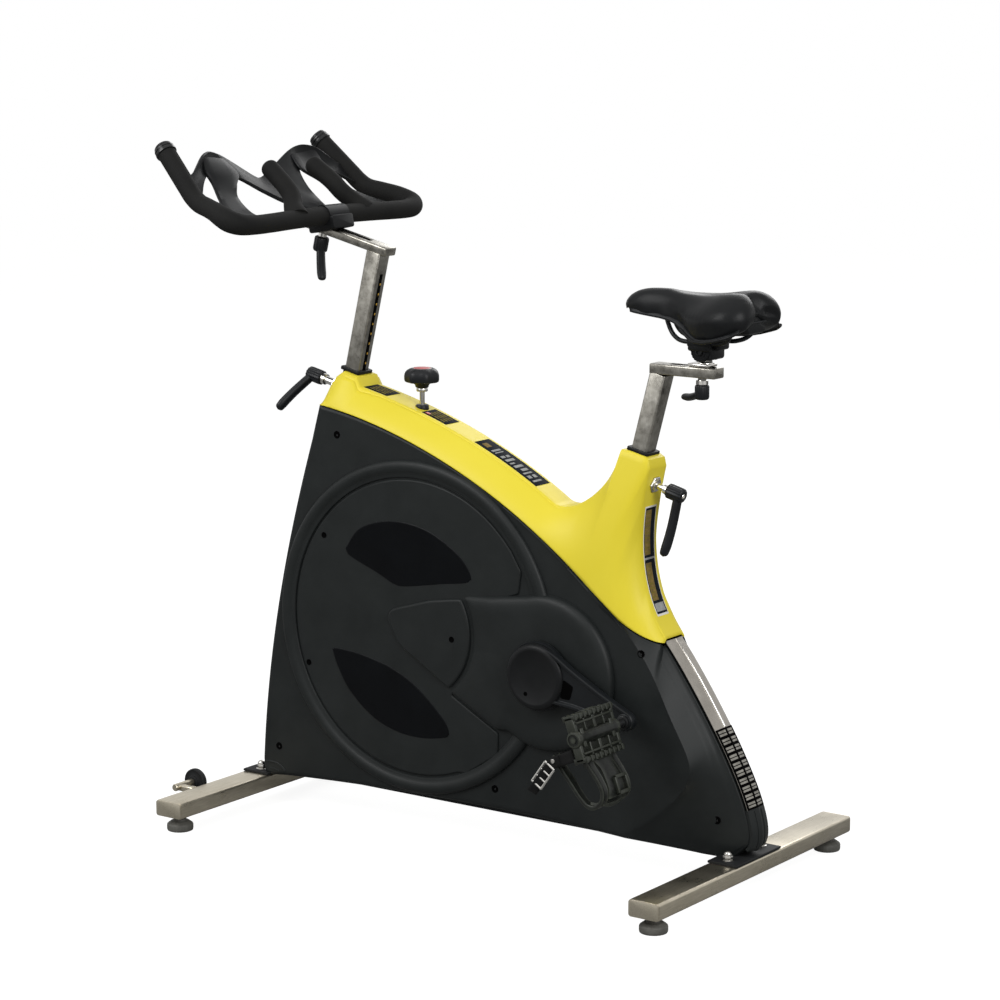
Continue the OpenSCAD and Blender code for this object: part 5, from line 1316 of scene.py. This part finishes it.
heel += [carried(onTail((tailShape["ribEnd"] - 5, 72), 36),
                 [(s * 9 - 0.7, 1.2), (s * 9 - 0.5, 2.9), (s * 9 + 0.5, 2.9),
                  (s * 9 + 0.7, 1.2)]) for s in (-1, 1)]
show("tail_guard_heel", heel, "rear_guard", "mouldedAbs")
print("tail made")

# foot bars, plates, cap nuts, levelling feet and transport wheels
barShape = dict(frontX=-424.0, rearX=476.0, wide=52.0, deep=26.0, mid=39.0, half=278.0, corner=4.2,
                studY=252.0, boltY=48.0)


def footBar(x):
    half = barShape["half"]
    return bar((x, -half, barShape["mid"]), (x, half, barShape["mid"]), barShape["wide"], barShape["deep"],
               (1, 0, 0), barShape["corner"], 0.6)


stubs = []
for s in (-1, 1):
    stubs += [turned([(0, 157), (5.4, 157), (6, 157.6), (6, 198.6), (5, 200), (0, 200)], (-481, 0, 48),
                     (0, s, 0), 40),
              turned([(0, 136), (6.4, 136), (7, 136.6), (7, 138), (4, 138.4), (4, 157.4), (0, 157.4)],
                     (-481, 0, 48), (0, s, 0), 32),
              bar((-482, s * 188, 47), (-449, s * 188, 47), 12, 10, (0, 1, 0), 2.4, 1)]
place(makeObject("front_foot_tube", *joined([footBar(barShape["frontX"])] + stubs)), "front_foot_bar")
place(makeObject("rear_foot_tube", *footBar(barShape["rearX"])), "rear_foot_bar")
caps = [bar((x, s * 278.3, 39), (x, s * 280, 39), 51.4, 25.4, (1, 0, 0), 4.2,
            0.5) for x in (barShape["frontX"], barShape["rearX"]) for s in (-1, 1)]
show("foot_tube_end_plates", caps, "foot_bar_end_caps")

plates, nuts = [], []
for x in (barShape["frontX"], barShape["rearX"]):
    plates.append(bar((x, -64, 54), (x, 64, 54), 52, 4, (1, 0, 0), 1.2, 0.8))
    for y in (-barShape["boltY"], barShape["boltY"]):
        nuts += [turned([(0, 56), (8.4, 56), (9, 56.3), (9, 57.1), (8.4, 57.5), (0, 57.5)], (x, y, 0),
                        (0, 0, 1), 40),
                 turned([(0, 57.4), (6.9, 57.4), (7.5, 58.2), (7.5, 63), (6.6, 64.2), (0, 64.2)], (x, y, 0),
                        (0, 0, 1), 6),
                 turned([(0, 64), (6.1, 64), (6.2, 65), (5.9, 67), (4.8, 69), (2.8, 70.3), (0, 70.8)],
                        (x, y, 0), (0, 0, 1), 32)]
show("mount_plate_strips", plates, "mount_plates", "mouldedRubber")
show("mount_cap_nuts", nuts, "mount_bolts", "zincPlate")

footLine = [(0, 0), (18.6, 0), (20.2, 0.6), (20.8, 2), (21, 4), (21, 9.6), (20.4, 11), (18.8, 12.4),
            (16.6, 13.8), (15.4, 14.8), (14.6, 15.4),
            (10.4, 15.8), (10, 16.4), (10, 25.6), (0, 25.6)]
for name, x, s in (("front_left", -424, -1), ("front_right", -424, 1), ("rear_left", 476, -1),
                   ("rear_right", 476, 1)):
    place(makeObject("foot_" + name + "_pad", *turned(footLine, (x, s * barShape["studY"], 0), (0, 0, 1), 96,
            24, 0.008)), "foot_" + name, "greyRubber")
tyre = [(4.1, -8), (8.8, -8), (9.8, -7.4), (10.2, -5.4), (12.4, -4.4), (17.4, -4), (19.6, -5), (20.6, -3.6),
        (21, -1.4), (21, 1.4), (20.6, 3.6),
        (19.6, 5), (17.4, 4), (12.4, 4.4), (10.2, 5.4), (9.8, 7.4), (8.8, 8), (4.1, 8), (4.1, -8)]
for s, name in ((-1, "left"), (1, "right")):
    place(makeObject(name + "_wheel_tyre", *turned(tyre, (-481, s * 148, 48), (0, 1, 0), 72)),
          name + "_transport_wheel")
print("feet made")

# screws in the casing, the lip over the front mount and the plain label plates
dark, bright = [], []
# each screw is seated on the shell itself, found by a ray from outside
shellSurface = bpy.data.objects["left_side_shell_moulding"].evaluated_get(bpy.context.evaluated_depsgraph_get())
for x, z in ((-250, 632), (-377, 104), (58, 101), (326, 352), (448, 110)):
    hit, spotOn, _, _ = shellSurface.ray_cast((x / 1000, -0.4, z / 1000), (0, 1, 0))
    lift = -spotOn.y * 1000 - 58 if hit else 0
    for s in (-1, 1):
        dark.append(turned([(0, 56.2), (5.6, 56.2), (6, 57.6), (6.1, 58.5), (5.4, 58.8), (4.7, 58.6),
                            (4.5, 58.35), (0, 58.3)], (x, s * lift, z), (0, s, 0), 32))
        bright.append(turned([(0, 58.2), (1.5, 58.2), (1.5, 58.5), (1.2, 58.7), (0.7, 58.7), (0.6, 58.5),
                              (0, 58.5)], (x + 0.6, s * lift, z - 0.8), (0, s, 0), 24))
show("casing_screw_sockets", dark, "shell_screws", "slotShadow")
show("casing_screw_heads", bright, "shell_screws", "blackOxideSteel", hides=False)
spots = []
for x, z, base in ((-275, 468, 62.0), (-309, 255, 62.0), (-19, 331, 66.6)):
    spots.append(turned([(0, base - 1), (4.4, base - 1), (4.8, base + 0.6), (4.2, base + 0.9),
                         (3.6, base + 0.4), (0, base + 0.2)], (x, 0, z), (0, -1, 0), 28))
show("round_cover_screws", spots, "left_flywheel_cover", "slotShadow", slot="screw_steel", hides=False)
lipLine = through([(-407.6, 74.6), (-399, 75.2), (-391.1, 75.1), (-379.6, 73.6), (-370.2, 68.7),
                   (-365.4, 63.6)], 50)
innerLip = through([(-397.9, 63), (-391, 63.9), (-384.7, 63.7), (-378.4, 62)], 36)
lips = [tube(np.c_[line[:, 0], np.full(len(line), s * 57.8), line[:, 1]], r, 12, (0, 1, 0)) for line,
        r in ((lipLine, 1.5), (innerLip, 1.1)) for s in (-1, 1)]
show("front_mount_lips", lips, "left_side_shell", "mouldedAbs", hides=False)


def coverLine(x0, x1, low, high, n=26):
    # the crown line between two X values, taken from the stretch of the cover between two shares
    f, top = crownLine()
    keep = (f >= low) & (f <= high)
    x = np.linspace(x0, x1, n)
    order = np.argsort(top[keep, 0])
    return np.c_[x, np.interp(x, top[keep, 0][order], top[keep, 1][order])]


def tile(line, y0, y1, lift, thick=0.7):
    # thin patch on the cover between two lines across, "lift" above its surface
    return carried(line, [(y1, lift - thick), (y1, lift - 0.12), (y1 - 0.25, lift), (y0 + 0.25, lift),
                          (y0, lift - 0.12), (y0, lift - thick)])


plates, olive, pale, ochre, spot = [], [], [], [], []
for x0, x1 in ((-226, -180), (-111, -64)):
    plates.append(tile(coverLine(x0, x1, 0.1, 0.41), -19, 17, 0.45))
    for y in (-13, -6, 1, 8):
        for a in (0.16, 0.4, 0.64):
            olive.append(tile(coverLine(x0 + a * (x1 - x0), x0 + (a + 0.2) * (x1 - x0), 0.1, 0.41, 4), y,
                              y + 3.4, 0.62))
spot.append(tile(coverLine(-107, -100, 0.1, 0.41, 4), -15, -8, 0.7))
plates.append(tile(coverLine(-8, 108, 0.1, 0.41, 50), -20, 18, 0.45))
ochre.append(tile(coverLine(0, 11, 0.1, 0.41, 5), -12, 1, 0.65))
for x, wide, y0, y1 in ((19, 4, -14, 8), (26, 2, -14, 8), (36, 5, -14, -4), (36, 5, 0, 8), (45, 5, -14, 8),
                        (54, 3, -14, -2), (61, 5, -14, 8),
                        (70, 5, -8, 8), (79, 3, -14, 8), (86, 6, -14, -5), (86, 6, 0, 8), (97, 3.4, -14, 8)):
    pale.append(tile(coverLine(x, x + wide, 0.1, 0.41, 4), y0, y1, 0.65))
# long plate down the back of the seat column: border, dark field, ochre field and grey end
f, top = crownLine()
back = top[(f > 0.765) & (f < 0.985)]
backLine = lambda z0, z1, n: np.c_[np.interp(-np.linspace(z0, z1, n), -back[:, 1], back[:, 0]),
                                   np.linspace(z0, z1, n)]
border = [tile(backLine(567, 402, 60), -15.4, 15.4, 0.35)]
plates.append(tile(backLine(564.5, 405, 60), -13.8, 13.8, 0.55))
ochre += [tile(backLine(561, 492, 30), -12.4, 3.0, 0.75), tile(backLine(480, 424, 24), -12.4, 3.0, 0.75)]
pale += [tile(backLine(488, 485, 3), -13.6, 13.6, 0.78), tile(backLine(420, 408, 8), -12.4, 11, 0.75)]
for z in np.arange(557, 496, -7.5):
    olive.append(tile(backLine(z, z - 2.6, 3), -11, 1.6, 0.9))
for z in np.arange(476, 428, -6.5):
    olive.append(tile(backLine(z, z - 2.2, 3), -11, -0.6, 0.9))
for name, parts, finish in (("plate_fields", plates, "printedLabel"), ("plate_border", border, "labelBorder"),
                            ("plate_ochre", ochre, "labelOchre"),
                            ("plate_bars", olive, "labelOlive"), ("plate_pale", pale, "labelGrey"),
                            ("plate_spot", spot, "redInlay")):
    place(makeObject(name, *joined(parts)), "top_cover", finish, slot="black_plastic", hides=False)
print("plates made")


print("all pieces made")
